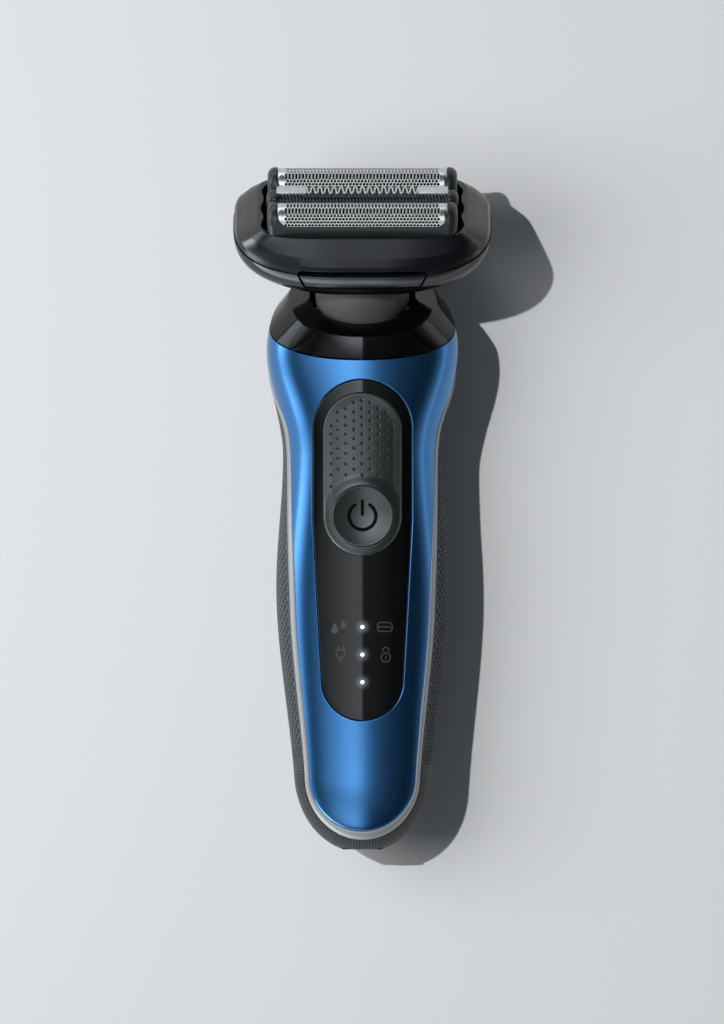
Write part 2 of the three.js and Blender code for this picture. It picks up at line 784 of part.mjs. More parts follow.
function battery() {
  const r = batteryRadius;
  const nub = 2.6;
  const z = batteryLength;
  const shape = new THREE.LatheGeometry([[0, 0], [r - 0.5, 0], [r, 0.6], [r, z - 1.6], [r - 0.6, z - 1],
    [nub, z - 1], [nub, z], [0, z]].map(([a, b]) => new THREE.Vector2(a, b)), aroundRound);
  shape.translate(0, batteryStartY, batteryZ);
  return solid(shape);
}

// Spring contact of the battery: a strip with a bent top that reaches up beside the board.
function batteryContact(y) {
  return box(-2.2, 2.2, y, y + contactThickness, batteryZ - 4, deckZ - seatGap);
}

function motor() {
  const can = bar('y', motorRadius, motorStart, motorEnd, 0, 0, pivotZ, aroundRound)
    .intersect(box(-motorRadius, motorRadius, motorStart, motorEnd, pivotZ - motorFlat, pivotZ + motorFlat));
  return can.subtract(bar('y', shaftRadius + runningGap, motorStart + 6, motorEnd + 1, 0, 0, pivotZ));
}

const eccentricStart = motorEnd + shaftReach;

function motorShaft() {
  return bar('y', shaftRadius, motorStart + 6 + runningGap, eccentricStart + eccentricThickness - 0.4,
    0, 0, pivotZ);
}

// Disc on the shaft, with the drive pin beside the shaft's axis.
function eccentric() {
  const disc = bar('y', eccentricRadius, eccentricStart, eccentricStart + eccentricThickness, 0, 0, pivotZ,
    aroundRound);
  const tip = eccentricStart + eccentricThickness + drivePinLength;
  const pin = bar('y', drivePinRadius, eccentricStart + eccentricThickness - 0.2, tip, eccentricOffset, 0,
    pivotZ);
  const bore = bar('y', shaftRadius + seatGap, eccentricStart - 1,
    eccentricStart + eccentricThickness - 0.4 + seatGap, 0, 0, pivotZ);
  return disc.subtract(bore).add(pin);
}

function shaftSeal() {
  const outer = bar('y', sealRadius, motorEnd + seatGap, motorEnd + bulkheadThickness, 0, 0, pivotZ);
  return outer.subtract(bar('y', shaftRadius + 0.1, motorEnd - 1, motorEnd + 3, 0, 0, pivotZ));
}

function tactSwitch() {
  const s = switchSide / 2;
  const foot = boardTop + seatGap;
  const top = foot + switchHeight;
  const base = box(-s, s, buttonY - s, buttonY + s, foot, top - 0.8);
  return base.add(bar('z', buttonStemRadius, foot + 1, top, 0, buttonY, 0));
}

function powerButton() {
  const top = frontAt(buttonY);
  const r = buttonRadius;
  const flangeTop = top - buttonSkirt;
  const flangeBottom = flangeTop - buttonFlangeThickness;
  const flange = r + buttonFlangeOverhang;
  const stemBottom = boardTop + seatGap + switchHeight + buttonTravel + jointLine;
  const dishSteps = 4;
  const dish = Array.from({ length: dishSteps + 1 }, (_, i) => i / dishSteps)
    .map((t) => [(r - buttonEdge) * t, top - buttonDish * (1 - t * t)]);
  return turned([...dish, [r, top - buttonEdge], [r, flangeTop], [flange, flangeTop],
    [flange, flangeBottom], [buttonStemRadius, flangeBottom], [buttonStemRadius, stemBottom],
    [0, stemBottom]], 0, buttonY);
}

function lightGuide(y) {
  return bar('z', lightRadius, boardTop + seatGap, frontAt(y) - seatGap, 0, y, 0);
}

piece(shaver, 'inner_chassis', chassis(), 'satin');
chassisScrewPlaces().forEach(([x, y], i) => {
  piece(shaver, `chassis_screw_${i + 1}`, chassisScrew(x, y), 'steel');
});
piece(shaver, 'circuit_board', circuitBoard(), 'board');
piece(shaver, 'battery', battery(), 'wrap');
piece(shaver, 'battery_contact_minus', batteryContact(batteryStartY - seatGap - contactThickness), 'brass');
piece(shaver, 'battery_contact_plus', batteryContact(batteryEnd + seatGap), 'brass');
piece(shaver, 'motor', motor(), 'steel');
piece(shaver, 'motor_shaft', motorShaft(), 'steel');
piece(shaver, 'eccentric', eccentric(), 'steel');
piece(shaver, 'shaft_seal', shaftSeal(), 'rubber');
piece(shaver, 'tact_switch', tactSwitch(), 'satin');
piece(shaver, 'power_button', powerButton(), 'soft');
lightPlaces().forEach((y, i) => piece(shaver, `light_guide_${i + 1}`, lightGuide(y), 'light'));
piece(shaver, 'pitch_pin_left', pitchPin(-1, 0), 'steel');
piece(shaver, 'pitch_pin_right', pitchPin(1, 0), 'steel');

// ---------------------------------------------------------------- neck (head frame)

const pivot = -pivotDepth;

function rollPin(side, grow) {
  const a = neckTubeBore + runningGap;
  const b = gimbalOuter - jointLine;
  return bar('y', pinRadius + grow, min(side * a, side * b), max(side * a, side * b), 0, 0, pivot);
}

function gimbalRing() {
  const half = gimbalThickness / 2;
  const ring = turned([[gimbalInner, pivot - half], [gimbalOuter, pivot - half], [gimbalOuter, pivot + half],
    [gimbalInner, pivot + half], [gimbalInner, pivot - half]], 0, 0);
  const bores = [-1, 1].flatMap((side) => [rollPin(side, seatGap),
    bar('x', pinRadius + pinGap, side < 0 ? -gimbalOuter - 1 : 1, side < 0 ? -1 : gimbalOuter + 1, 0, 0,
      pivot)]);
  return cut(ring, ...bores);
}

const neckTop = headFloor - jointLine;
const neckSpigot = neckRadius - 1;

function neckScrewPlaces() {
  const radius = neckSpigot - 2;
  return [-1, 1].map((side) => [side * radius, 0]);
}

// Neck: a tube on the gimbal that widens into the visible drum, with two screw posts inside.
function neck() {
  const drumBore = neckSpigot - 1;
  const bevel = 0.4;
  const tubeBottom = pivot - gimbalThickness / 2 - bevel;
  const shoulder = headBottom - jointLine;
  const body = turned([[neckTubeBore, tubeBottom], [neckTubeRadius, tubeBottom],
    [neckTubeRadius, neckSkirt - bevel], [neckRadius - bevel, neckSkirt], [neckRadius, neckSkirt + bevel],
    [neckRadius, shoulder], [neckSpigot, shoulder], [neckSpigot, neckTop], [drumBore, neckTop],
    [drumBore, neckFloor], [neckTubeBore, neckFloor - bevel], [neckTubeBore, tubeBottom]], 0, 0, aroundNeck);
  const postRadius = screwRadius + 1;
  const posts = neckScrewPlaces().map(([x, y]) => bar('z', postRadius, neckFloor - 0.2, shoulder, x, y, 0));
  const holes = neckScrewPlaces().map(([x, y]) => neckScrewRoom(x, y));
  return cut(join(body, ...posts), ...holes, rollPin(-1, pinGap), rollPin(1, pinGap), leverPin(seatGap),
    leverRoom());
}

// Room for the lever's upper arm between the posts.
function leverRoom() {
  return box(-leverRoomHalfWidth, leverRoomHalfWidth, -leverRoomHalfDepth, leverRoomHalfDepth,
    neckFloor - 0.4, headDeck);
}

function leverPin(grow) {
  const reach = neckTubeBore + 0.9;
  return bar('y', leverPinRadius + grow, -reach, reach, 0, 0, leverHeight);
}

// The lever's own pin stands above the gimbal's centre, clear of the roll pins.
const leverHeight = pivot + leverPinRise;

// Drive lever: upper arm with a ball in the bridge, hub, and a fork down to the eccentric's pin.
// The fork reaches along the handle, so it leans back from the neck's axis.
function driveLever() {
  const ballZ = bridgeBottom + leverBall / 2;
  const hub = bar('y', 1.9, -2.2, 2.2, 0, 0, leverHeight, aroundRound);
  const arm = box(-0.9, 0.9, -1.2, 1.2, leverHeight, bridgeBottom - 0.6);
  const throat = bar('z', leverBall * 0.6, bridgeBottom - 0.8, ballZ, 0, 0, 0);
  const ball = new THREE.SphereGeometry(leverBall, 10, 6);
  ball.translate(0, 0, ballZ);
  const drop = sin(lean) * leverPinRise;
  const prongMiddle = forkGap + prongThickness / 2;
  const root = new THREE.BoxGeometry(2 * (forkGap + prongThickness), forkDepth, 1.6);
  const prong = (side) => {
    const g = new THREE.BoxGeometry(prongThickness, forkDepth, forkLength);
    return g.translate(side * prongMiddle, 0, -forkLength / 2);
  };
  const fork = [root, prong(-1), prong(1)].map((g) => {
    g.translate(0, drop, -forkStart).rotateX(-lean).translate(0, 0, leverHeight);
    return solid(g);
  });
  const link = box(-0.9, 0.9, -1.2, 1.2, leverHeight - forkStart, leverHeight);
  const bore = bar('y', leverPinRadius + pinGap, -5, 5, 0, 0, leverHeight);
  return cut(join(hub, arm, throat, solid(ball), link, ...fork), bore);
}

function neckScrew(x, y) {
  const top = headFloor;
  return turned([[0, top], [screwHeadRadius, top], [screwHeadRadius, top - 0.4],
    [screwRadius, top - screwHeadHeight], [screwRadius, neckScrewTip], [0, neckScrewTip]], x, y, aroundSmall);
}

piece(head, 'gimbal_ring', gimbalRing(), 'steel');
piece(head, 'roll_pin_front', rollPin(-1, 0), 'steel');
piece(head, 'roll_pin_rear', rollPin(1, 0), 'steel');
piece(head, 'neck', neck(), 'grey');
piece(head, 'lever_pin', leverPin(0), 'steel');
piece(head, 'drive_lever', driveLever(), 'steel');
neckScrewPlaces().forEach(([x, y], i) => piece(head, `neck_screw_${i + 1}`, neckScrew(x, y), 'steel'));

// ---------------------------------------------------------------- head shell (head frame)

// One rounded ring of the head: height rises from its front value towards the ends.
function headRing(halfWidth, halfDepth, height, rise, fullness) {
  return angles(aroundHead).map((angle) => {
    const [x, y] = superellipse(angle, halfWidth, halfDepth, fullness);
    return new THREE.Vector3(x, y, height + rise * (x / halfWidth) ** 2);
  });
}

// Lower head shell as rings from its underside up to the parting line, sunk by inset.
function lowerHead(inset) {
  const bottom = headBottom + inset;
  const steps = 4;
  const rings = Array.from({ length: steps + 1 }, (_, i) => {
    const t = (i / steps) ** 1.4;
    const drawnIn = (1 - t) ** 2.2;
    return headRing(headHalfWidth - inset - undersideAcross * drawnIn,
      headHalfDepth - inset - undersideDeep * drawnIn, bottom + (partingAtFront - bottom) * t,
      partingRise * t ** 1.5, headFullness);
  });
  return loft(rings);
}

function headBase() {
  const shell = lowerHead(0);
  const top = partingAtFront + partingRise + 2;
  const inside = lowerHead(headWall).add(prism(ringOutline(headHalfWidth - headWall,
    headHalfDepth - headWall, headFullness), partingAtFront - 1, top));
  const across = headHalfWidth;
  const above = inside.intersect(box(-across, across, -across, across, headDeckTop, top));
  const below = inside.intersect(box(-across, across, -across, across, headFloor, headDeck));
  const slotHalfWidth = bridgePinRadius + stroke + runningGap;
  const slotHalfDepth = bridgePinRadius + 0.5;
  const slots = elementPlaces().map((y) => box(-slotHalfWidth, slotHalfWidth, y - slotHalfDepth,
    y + slotHalfDepth, headDeck - 1, headDeckTop + 1));
  const flangeEnd = -headHalfDepth + releaseDepth + releaseFlangeDepth + releaseTravel + jointLine;
  const bay = box(-releaseHalfWidth - jointLine, releaseHalfWidth + jointLine, -headHalfDepth - 1,
    flangeEnd, releaseBottom - jointLine, top);
  const w = releaseHalfWidth + releaseFlange + jointLine;
  const bayRoom = box(-w, w, -headHalfDepth + releaseDepth - jointLine, flangeEnd, releaseBottom - 0.2,
    headDeck);
  const rib = box(-3, 3, releaseRibY, releaseRibY + releaseRibThickness, headFloor - 0.2, headDeck + 0.2);
  const spigot = bar('z', neckSpigot + runningGap / 2, 0, neckTop + seatGap, 0, 0, 0, aroundNeck);
  const centreHole = box(-leverRoomHalfWidth, leverRoomHalfWidth, -leverRoomHalfDepth, leverRoomHalfDepth,
    headBottom - 1, headDeck - 0.5);
  const screwHoles = neckScrewPlaces().map(([x, y]) => neckScrewRoom(x, y));
  return join(cut(shell, above, below, ...slots, bay, bayRoom, spigot, centreHole, ...screwHoles), rib);
}

function neckScrewRoom(x, y) {
  const top = headFloor;
  const g = seatGap;
  return turned([[0, top + 1], [screwHeadRadius + g, top + 1], [screwHeadRadius + g, top - 0.4 - g],
    [screwRadius + g, top - screwHeadHeight - g], [screwRadius + g, neckScrewTip - g],
    [0, neckScrewTip - g]], x, y, aroundSmall);
}

function ringOutline(a, b, fullness) {
  return angles(aroundHead).map((angle) => superellipse(angle, a, b, fullness));
}

function elementPlaces() {
  return [-elementPitch, 0, elementPitch];
}

// Release bar: a bar with round ends set in the shell's front, following its curve.
function releaseBar() {
  const front = headHalfDepth - releaseSink;
  const across = headHalfWidth - releaseSink;
  const skin = prism(ringOutline(across, front, headFullness), releaseBottom, releaseTop)
    .subtract(prism(ringOutline(across - releaseDepth, front - releaseDepth, headFullness),
      releaseBottom - 1, releaseTop + 1));
  const radius = (releaseTop - releaseBottom) / 2;
  const w = releaseHalfWidth - radius;
  const z = (releaseTop + releaseBottom) / 2;
  const shape = new THREE.Shape();
  shape.absarc(w, z, radius, -PI / 2, PI / 2).absarc(-w, z, radius, PI / 2, (3 * PI) / 2);
  const slot = new THREE.ExtrudeGeometry(shape, { depth: 2 * front, bevelEnabled: false, curveSegments: 6 });
  slot.rotateX(PI / 2);
  const y0 = -headHalfDepth + releaseDepth;
  const w1 = releaseHalfWidth + releaseFlange;
  const flange = box(-w1, w1, y0, y0 + releaseFlangeDepth, releaseBottom + jointLine, headDeck - jointLine);
  return join(skin.intersect(solid(slot)), flange);
}

// Spring behind the release bar, against a rib of the head's base.
function releaseSpring() {
  const y0 = -headHalfDepth + releaseDepth + releaseFlangeDepth + seatGap;
  return coil(0, 0, y0, releaseRibY - seatGap, 'y', 2, releaseSpringZ);
}

// Oscillating bridge under the deck, with a socket for the lever's ball and three drive pins.
function driveBridge() {
  const z0 = bridgeBottom;
  const z1 = bridgeBottom + bridgeThickness;
  const w = bridgeArmHalfWidth;
  const plate = join(box(-bridgeHalfWidth, bridgeHalfWidth, -w, w, z0, z1),
    box(-w, w, -bridgeHalfDepth, bridgeHalfDepth, z0, z1));
  const pins = elementPlaces().map((y) => bar('z', bridgePinRadius, z1 - 0.2, bridgePinTop, 0, y, 0));
  const socket = leverBall + runningGap;
  return join(cut(plate, bar('z', socket, z0 - 1, z1 - 0.5, 0, 0, 0)), ...pins);
}

// A coil spring standing at (x, y) from z0 to z1: a thin wire of square-ended section on a helix.
function coil(x, y, z0, z1, axis = 'z', turns = springTurns, z = 0) {
  const steps = turns * 5;
  class Helix extends THREE.Curve {
    getPoint(t) {
      const a = 2 * PI * turns * t;
      const h = z0 + springWire + (z1 - z0 - 2 * springWire) * t;
      const u = springRadius * cos(a);
      const v = springRadius * sin(a);
      if (axis === 'z') return new THREE.Vector3(x + u, y + v, h);
      return new THREE.Vector3(x + u, h, z + v);
    }
  }
  const section = new THREE.Shape();
  const w = springWire;
  section.moveTo(w, 0).lineTo(0, w).lineTo(-w, 0).lineTo(0, -w);
  return solid(new THREE.ExtrudeGeometry(section, { steps, extrudePath: new Helix(), bevelEnabled: false }));
}

piece(head, 'head_base', headBase(), 'satin');
piece(head, 'release_bar', releaseBar(), 'satin');
piece(head, 'release_spring', releaseSpring(), 'steel');
piece(head, 'drive_bridge', driveBridge(), 'steel');

// ---------------------------------------------------------------- cassette (head frame)

// The opening's outline: nearly straight sides, ends that wave round the three elements.
function openingOutline() {
  return angles(60).map((angle) => {
    const [x, y] = superellipse(angle, openingHalfWidth, openingHalfDepth, 16);
    const wave = openingWave * sin((PI * y) / elementPitch) ** 2;
    return [abs(x) > carrierHalfWidth ? x - sign(x) * wave : x, y];
  });
}

function cassetteFrame() {
  const low = partingAtFront + jointLine;
  const inset = 0.9;
  const across = openingHalfWidth + rimWidth;
  const deep = openingHalfDepth + rimWidth / 2;
  const body = loft([
    headRing(headHalfWidth - inset, headHalfDepth - releaseSink, low, partingRise, headFullness),
    headRing(headHalfWidth - inset - 0.2, headHalfDepth - releaseSink, low + 1.2, partingRise, headFullness),
    headRing(creaseHalfWidth, creaseHalfDepth, creaseAtFront, creaseRise, 3.8),
    headRing(across + 0.3, deep + 0.3, frameTop - 0.3, 0, 5),
    headRing(across, deep, frameTop, 0, 5),
  ]);
  const inside = headWall + runningGap;
  const floor = prism(ringOutline(headHalfWidth - inside, headHalfDepth - inside, headFullness), floorBottom,
    floorTop + 0.9);
  const opening = prism(openingOutline(), floorTop, frameTop + 2);
  const slots = elementPlaces().map((y) => {
    const w = driveBlockHalfWidth + stroke + runningGap;
    const d = driveBlockHalfDepth + runningGap;
    return box(-w, w, y - d, y + d, floorBottom - 1, floorTop + 1);
  });
  return cut(join(body, floor), opening, ...slots);
}

const springPlace = (cutterBayHalfWidth + carrierHalfWidth) / 2;

function pocket(side, y) {
  return bar('z', springPocketRadius, carrierBottom - 1, springTop, side * springPlace, y, 0);
}

// Carrier of one foil: a trough with end caps that follow the foil's arc.
function foilCarrier(y) {
  const w = carrierHalfWidth;
  const shape = ringOutline(w, carrierHalfDepth, 8).map(([px, py]) => [px, py + y]);
  const base = prism(shape, carrierBottom, carrierShoulder);
  const capStart = foilHalfLength + seatGap;
  const cap = (s) => bar('x', foilRadius + capProud, min(s * (w - 0.3), s * capStart),
    max(s * (w - 0.3), s * capStart), 0, y, foilAxis, aroundRound);
  const foilRoom = bar('x', foilRadius + pinGap, -capStart, capStart, 0, y, foilAxis, aroundRound);
  const bayHalfDepth = foilRadius - 0.55;
  const bay = box(-cutterBayHalfWidth, cutterBayHalfWidth, y - bayHalfDepth, y + bayHalfDepth,
    carrierBottom - 1, foilAxis + foilRadius);
  return cut(join(base, cap(-1), cap(1)), foilRoom, bay, pocket(-1, y), pocket(1, y));
}

// Foil: a thin arched sheet along X, its legs turned in a little below the arc's centre.
function foil(y) {
  const shape = new THREE.Shape();
  const a0 = -foilLegAngle * DEG;
  const a1 = PI - a0;
  shape.absarc(0, 0, foilRadius, a0, a1);
  shape.absarc(0, 0, foilRadius - foilThickness, a1, a0, true);
  const sheet = new THREE.ExtrudeGeometry(shape, { depth: 2 * foilHalfLength, bevelEnabled: false,
    curveSegments: 14 });
  sheet.translate(0, 0, -foilHalfLength).rotateX(PI / 2).rotateZ(PI / 2).translate(0, y, foilAxis);
  return solid(sheet);
}

// Block under a cutter, with the slot that a drive pin enters.
function driveBlock(y, top) {
  const w = driveBlockHalfWidth;
  const d = driveBlockHalfDepth;
  const s = bridgePinRadius + pinGap;
  const slot = box(-s, s, y - s - pinGap, y + s + pinGap, driveBlockBottom - 1, driveSlotRoof);
  return box(-w, w, y - d, y + d, driveBlockBottom, top).subtract(slot);
}

// Cutter block: a spine that carries a row of arched blades.
function cutter(y) {
  const spineTop = foilAxis - 1.2;
  const spineHalf = driveBlockHalfDepth - 0.1;
  const spine = box(-cutterHalfLength, cutterHalfLength, y - spineHalf, y + spineHalf, driveSlotRoof + 0.4,
    spineTop);
  const pitch = (2 * cutterHalfLength - finThickness) / (cutterFins - 1);
  const fins = Array.from({ length: cutterFins }, (_, i) => {
    const x = -cutterHalfLength + i * pitch;
    return bar('x', cutterRadius, x, x + finThickness, 0, y, foilAxis, 10);
  });
  return join(spine, driveBlock(y, spineTop), ...fins);
}

function trimmerCarrier() {
  const w = trimmerHalfWidth;
  const d = trimmerHalfDepth;
  const base = prism(ringOutline(w, d, 6), carrierBottom, trimmerShoulder);
  const capTop = combTop - combThickness;
  const caps = [-1, 1].map((s) => prism(ringOutline(1.2, d - 0.3, 4).map(([x, y]) => [x + s * (w - 1.25), y]),
    trimmerShoulder - 1, capTop));
  const bayHalfDepth = driveBlockHalfDepth + runningGap;
  const bay = box(-cutterBayHalfWidth, cutterBayHalfWidth, -bayHalfDepth, bayHalfDepth, carrierBottom - 1,
    trimmerShoulder + 1);
  return cut(join(base, ...caps), bay, pocket(-1, 0), pocket(1, 0));
}

// Comb guard over the middle blade: a channel whose top edges are cut into teeth.
function trimmerComb() {
  const half = foilHalfLength;
  const d = trimmerHalfDepth - 0.25;
  const t = combThickness;
  const z = trimmerShoulder + seatGap;
  const outside = box(-half, half, -d, d, z, combTop);
  const channel = box(-half - 1, half + 1, -d + t, d - t, z - 1, combTop - t);
  const slots = [];
  for (let i = 0; i < toothCount; i++) {
    const x = (i - (toothCount - 1) / 2) * toothPitch;
    for (const s of [-1, 1]) {
      const [y0, y1] = s < 0 ? [-d - 1, -d + toothDepth] : [d - toothDepth, d + 1];
      slots.push(box(x - toothSlot / 2, x + toothSlot / 2, y0, y1, z + 0.5, combTop + 1));
    }
  }
  return cut(outside, channel, ...slots);
}

function middleBlade() {
  const top = combTop - combThickness - 0.15;
  const half = (toothCount * toothPitch) / 2 + 0.4;
  const plateHalf = driveBlockHalfDepth;
  const plate = box(-half, half, -plateHalf, plateHalf, top - 0.7, top);
  const web = box(-half, half, -plateHalf / 2, plateHalf / 2, driveSlotRoof + 0.4, top - 0.5);
  return join(plate, web, driveBlock(0, driveSlotRoof + 1.2));
}

piece(head, 'cassette_frame', cassetteFrame(), 'satin');
for (const [name, y] of [['front', -elementPitch], ['rear', elementPitch]]) {
  piece(head, `${name}_foil_carrier`, foilCarrier(y), 'satin');
  piece(head, `${name}_foil`, foil(y), 'steel');
  piece(head, `${name}_cutter`, cutter(y), 'steel');
}
piece(head, 'trimmer_carrier', trimmerCarrier(), 'satin');
piece(head, 'trimmer_comb', trimmerComb(), 'steel');
piece(head, 'middle_blade', middleBlade(), 'steel');
for (const [name, y] of [['front', -elementPitch], ['middle', 0], ['rear', elementPitch]]) {
  for (const [end, side] of [['left', -1], ['right', 1]]) {
    const spring = coil(side * springPlace, y, floorTop + seatGap, springTop - seatGap);
    piece(head, `${name}_spring_${end}`, spring, 'steel');
  }
}

// ---------------------------------------------------------------- origin under the middle

shaver.updateMatrixWorld(true);
const bounds = new THREE.Box3().setFromObject(shaver, true);
const middle = bounds.getCenter(new THREE.Vector3());
shaver.position.set(-middle.x, -middle.y, -bounds.min.z);

export default shaver;
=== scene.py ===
# %% [markdown]
# # A cordless foil shaver, finished in Blender
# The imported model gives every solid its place. This lesson dresses it: each visible skin is worked out again
# as a fine surface with numpy, from the same rules that shaped the solid under it, and gets a finish made of
# shader nodes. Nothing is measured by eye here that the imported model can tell.

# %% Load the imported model
import json
import math

import bmesh
import bpy
import numpy as np
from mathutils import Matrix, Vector


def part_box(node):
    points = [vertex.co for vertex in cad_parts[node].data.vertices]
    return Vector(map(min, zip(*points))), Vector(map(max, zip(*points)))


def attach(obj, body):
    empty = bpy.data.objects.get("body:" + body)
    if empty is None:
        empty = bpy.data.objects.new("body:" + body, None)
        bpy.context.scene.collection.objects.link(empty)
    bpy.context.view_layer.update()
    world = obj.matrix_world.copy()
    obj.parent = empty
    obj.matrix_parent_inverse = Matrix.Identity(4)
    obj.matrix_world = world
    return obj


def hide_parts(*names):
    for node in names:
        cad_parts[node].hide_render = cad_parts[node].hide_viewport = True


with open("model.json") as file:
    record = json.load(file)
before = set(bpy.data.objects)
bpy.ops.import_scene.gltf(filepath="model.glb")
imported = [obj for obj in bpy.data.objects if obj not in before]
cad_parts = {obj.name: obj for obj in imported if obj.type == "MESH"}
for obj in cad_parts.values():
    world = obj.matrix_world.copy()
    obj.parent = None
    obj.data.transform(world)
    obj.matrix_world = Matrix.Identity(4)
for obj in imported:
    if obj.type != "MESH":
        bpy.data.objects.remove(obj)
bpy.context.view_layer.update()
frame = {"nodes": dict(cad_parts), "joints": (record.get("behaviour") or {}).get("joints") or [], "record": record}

# %% [markdown]
# ## Two sets of axes
# Lengths below are in millimetres. The handle is described along its own Y, which starts at the charging
# socket. The head is described upright in axes of its own, which lean to the front about the neck's centre.
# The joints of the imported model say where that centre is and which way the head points, so both sets of
# axes come from them.

# %% The handle's and the head's axes
MM = 0.001
joints = {joint["name"]: joint for joint in frame["joints"]}
HEAD_UP = np.array(joints["cassette_lift"]["axis"])       # from the neck to the foils
HEAD_BACK = np.array(joints["release_press"]["axis"])     # from the head's front to its rear
PIVOT_DEPTH = 5.0                                         # of the head's hinges under the collar's rim
NECK_Y = 130.6                                            # the neck's centre, from the socket's face
NECK = np.array(joints["head_pitch"]["pos_m"]) / MM + PIVOT_DEPTH * HEAD_UP
HANDLE_START = NECK[1] - NECK_Y                           # the socket's face in the model's own axes


def from_handle(x, y, z):
    """Points of the handle, in metres in the model's axes."""
    x, y, z = np.broadcast_arrays(x, y, z)
    return np.stack([x, y + HANDLE_START, z], axis=-1) * MM


def from_head(x, y, h):
    """Points of the head: the neck's centre, plus x across, y along the head's back and h up the neck."""
    x, y, h = np.broadcast_arrays(x, y, h)
    across = np.array([1.0, 0.0, 0.0])
    return (NECK + x[..., None] * across + y[..., None] * HEAD_BACK + h[..., None] * HEAD_UP) * MM


print("neck centre, mm:", np.round(NECK, 2), "socket face at Y", round(float(HANDLE_START), 2))

# %% [markdown]
# ## The handle's surface
# The casing is a soft bar whose sections are superellipses: an ellipse whose corners fill out as an
# exponent grows. Half width, front height, back height and middle line each ease from station to station
# along Y. Every skin of the handle lies on this one surface, so the pieces meet without steps.

# %% The surface as a function of angle and place
END_ROUND, END_REACH = 17.0, 17.8     # where the rounded end starts, and how far on it would close
FRONT_FULL, BACK_FULL, END_FULL = 2.3, 2.5, 2.6
MEET_FROM, MEET_TO = 60.0, 144.0      # every line of the handle meets the collar between these places


def smooth(t):
    """A share from 0 to 1 turned into an S-shaped step with level ends: 3 t^2 - 2 t^3."""
    return t * t * (3 - 2 * t)


def eased(y, places, values):
    """Value at y: constant outside the first and last place, and a smooth S-shaped step between each two."""
    y = np.asarray(y, float)
    places, values = np.asarray(places, float), np.asarray(values, float)
    i = np.clip(np.searchsorted(places, y) - 1, 0, len(places) - 2)
    t = np.clip((y - places[i]) / (places[i + 1] - places[i]), 0, 1)
    return values[i] + (values[i + 1] - values[i]) * smooth(t)


def half_width(y):
    """Half the handle's width at y."""
    return eased(y, [8, 62, 93, 118, 136], [15.8, 20.4, 18.8, 22.7, 19.4])


def front_height(y):
    """Height of the handle's front line at y."""
    return eased(y, [8, 118], [30.2, 34.4])


def back_height(y):
    """Height of the handle's back line at y; below 0 it is cut level there."""
    return eased(y, [8, 48, 104, 136], [9.5, -1.2, -1.2, 3.4])


def middle_height(y):
    """Height of the widest line of the section at y."""
    return eased(y, [8, 62, 93, 118], [20, 16.8, 16.8, 21.5])


def end_scale(y, inset, fullness):
    """How far a section has shrunk in the rounded end: (1 - t^f)^(1/f), with t the way into the end."""
    t = np.clip((END_ROUND - np.asarray(y, float)) / (END_REACH - inset), 0, 1)
    return (1 - t ** fullness) ** (1 / fullness)


def power(value, exponent):
    """Signed power, which makes a superellipse from a circle."""
    return np.sign(value) * np.abs(value) ** exponent


def handle_surface(angle, y, inset=0.0):
    """x, y, z of the surface at an angle in degrees round the section, up from its middle line, and sunk by
    inset: x = a cos^(2/f), z = middle + b sin^(2/f), where a and b are half the width and the height."""
    c, s = np.cos(np.radians(angle)), np.sin(np.radians(angle))
    front = s >= 0
    middle = middle_height(y)
    rise = np.where(front, front_height(y) - inset - middle, middle - back_height(y) - inset)
    exponent = 2 / np.where(front, FRONT_FULL, BACK_FULL)
    x = (half_width(y) - inset) * end_scale(y, inset, 2) * power(c, exponent)
    z = middle + rise * end_scale(y, inset, END_FULL) * power(s, exponent)
    return x, y, np.maximum(z, inset)


def angle_over(x, y):
    """The angle whose surface point on the front is at x: the superellipse solved for it."""
    share = np.clip(np.abs(x) / (half_width(y) * end_scale(y, 0, 2)), 0, 1)
    angle = np.degrees(np.arccos(share ** (FRONT_FULL / 2)))
    return np.where(x >= 0, angle, 180 - angle)


def on_front(x, y, inset=0.0):
    """Points of the handle's front above x, y, sunk by inset."""
    px, py, pz = handle_surface(angle_over(x, y), y)
    return from_handle(x, y, pz - inset)


def along_neck(y, z):
    """Height of a handle point up the neck."""
    return HEAD_UP[1] * (y - NECK_Y) + HEAD_UP[2] * (z - NECK[2])


def meeting_y(angle_at, lines, height, inset=0.0):
    """Where some lines on the handle's surface reach a height up the neck. angle_at gives the lines' angles
    at their y. Both ends of an interval close in on each meeting place by halving."""
    low = np.full(lines, MEET_FROM)
    high = np.full(lines, MEET_TO)
    for _ in range(40):
        y = (low + high) / 2
        _, _, z = handle_surface(angle_at(y), y, inset)
        below = along_neck(y, z) < height
        low, high = np.where(below, y, low), np.where(below, high, y)
    return low


print("width at the shoulder, mm:", round(2 * float(half_width(118)), 1))

# %% [markdown]
# ## From a grid of points to a piece
# A surface here is a grid of points: rows along one parameter, columns along the other. A closed piece is a
# grid whose columns wrap round, whose rows wrap round too (a ring) or end in a single point (a bar), or two
# grids with walls between their borders (a slab). One helper writes the points into a mesh, welds the seams
# and poles and turns all faces outwards. Another hangs the piece on its body, so that it moves with it.

# %% Mesh helpers


def grid_faces(rows, columns, wrap_rows=False, wrap_columns=True, start=0):
    """Quads between neighbouring points of a grid, as rows of four indices."""
    r = np.arange(rows if wrap_rows else rows - 1)
    c = np.arange(columns if wrap_columns else columns - 1)
    r, c = np.meshgrid(r, c, indexing="ij")
    r1, c1 = (r + 1) % rows, (c + 1) % columns
    quads = np.stack([r * columns + c, r * columns + c1, r1 * columns + c1, r1 * columns + c], axis=-1)
    return quads.reshape(-1, 4) + start


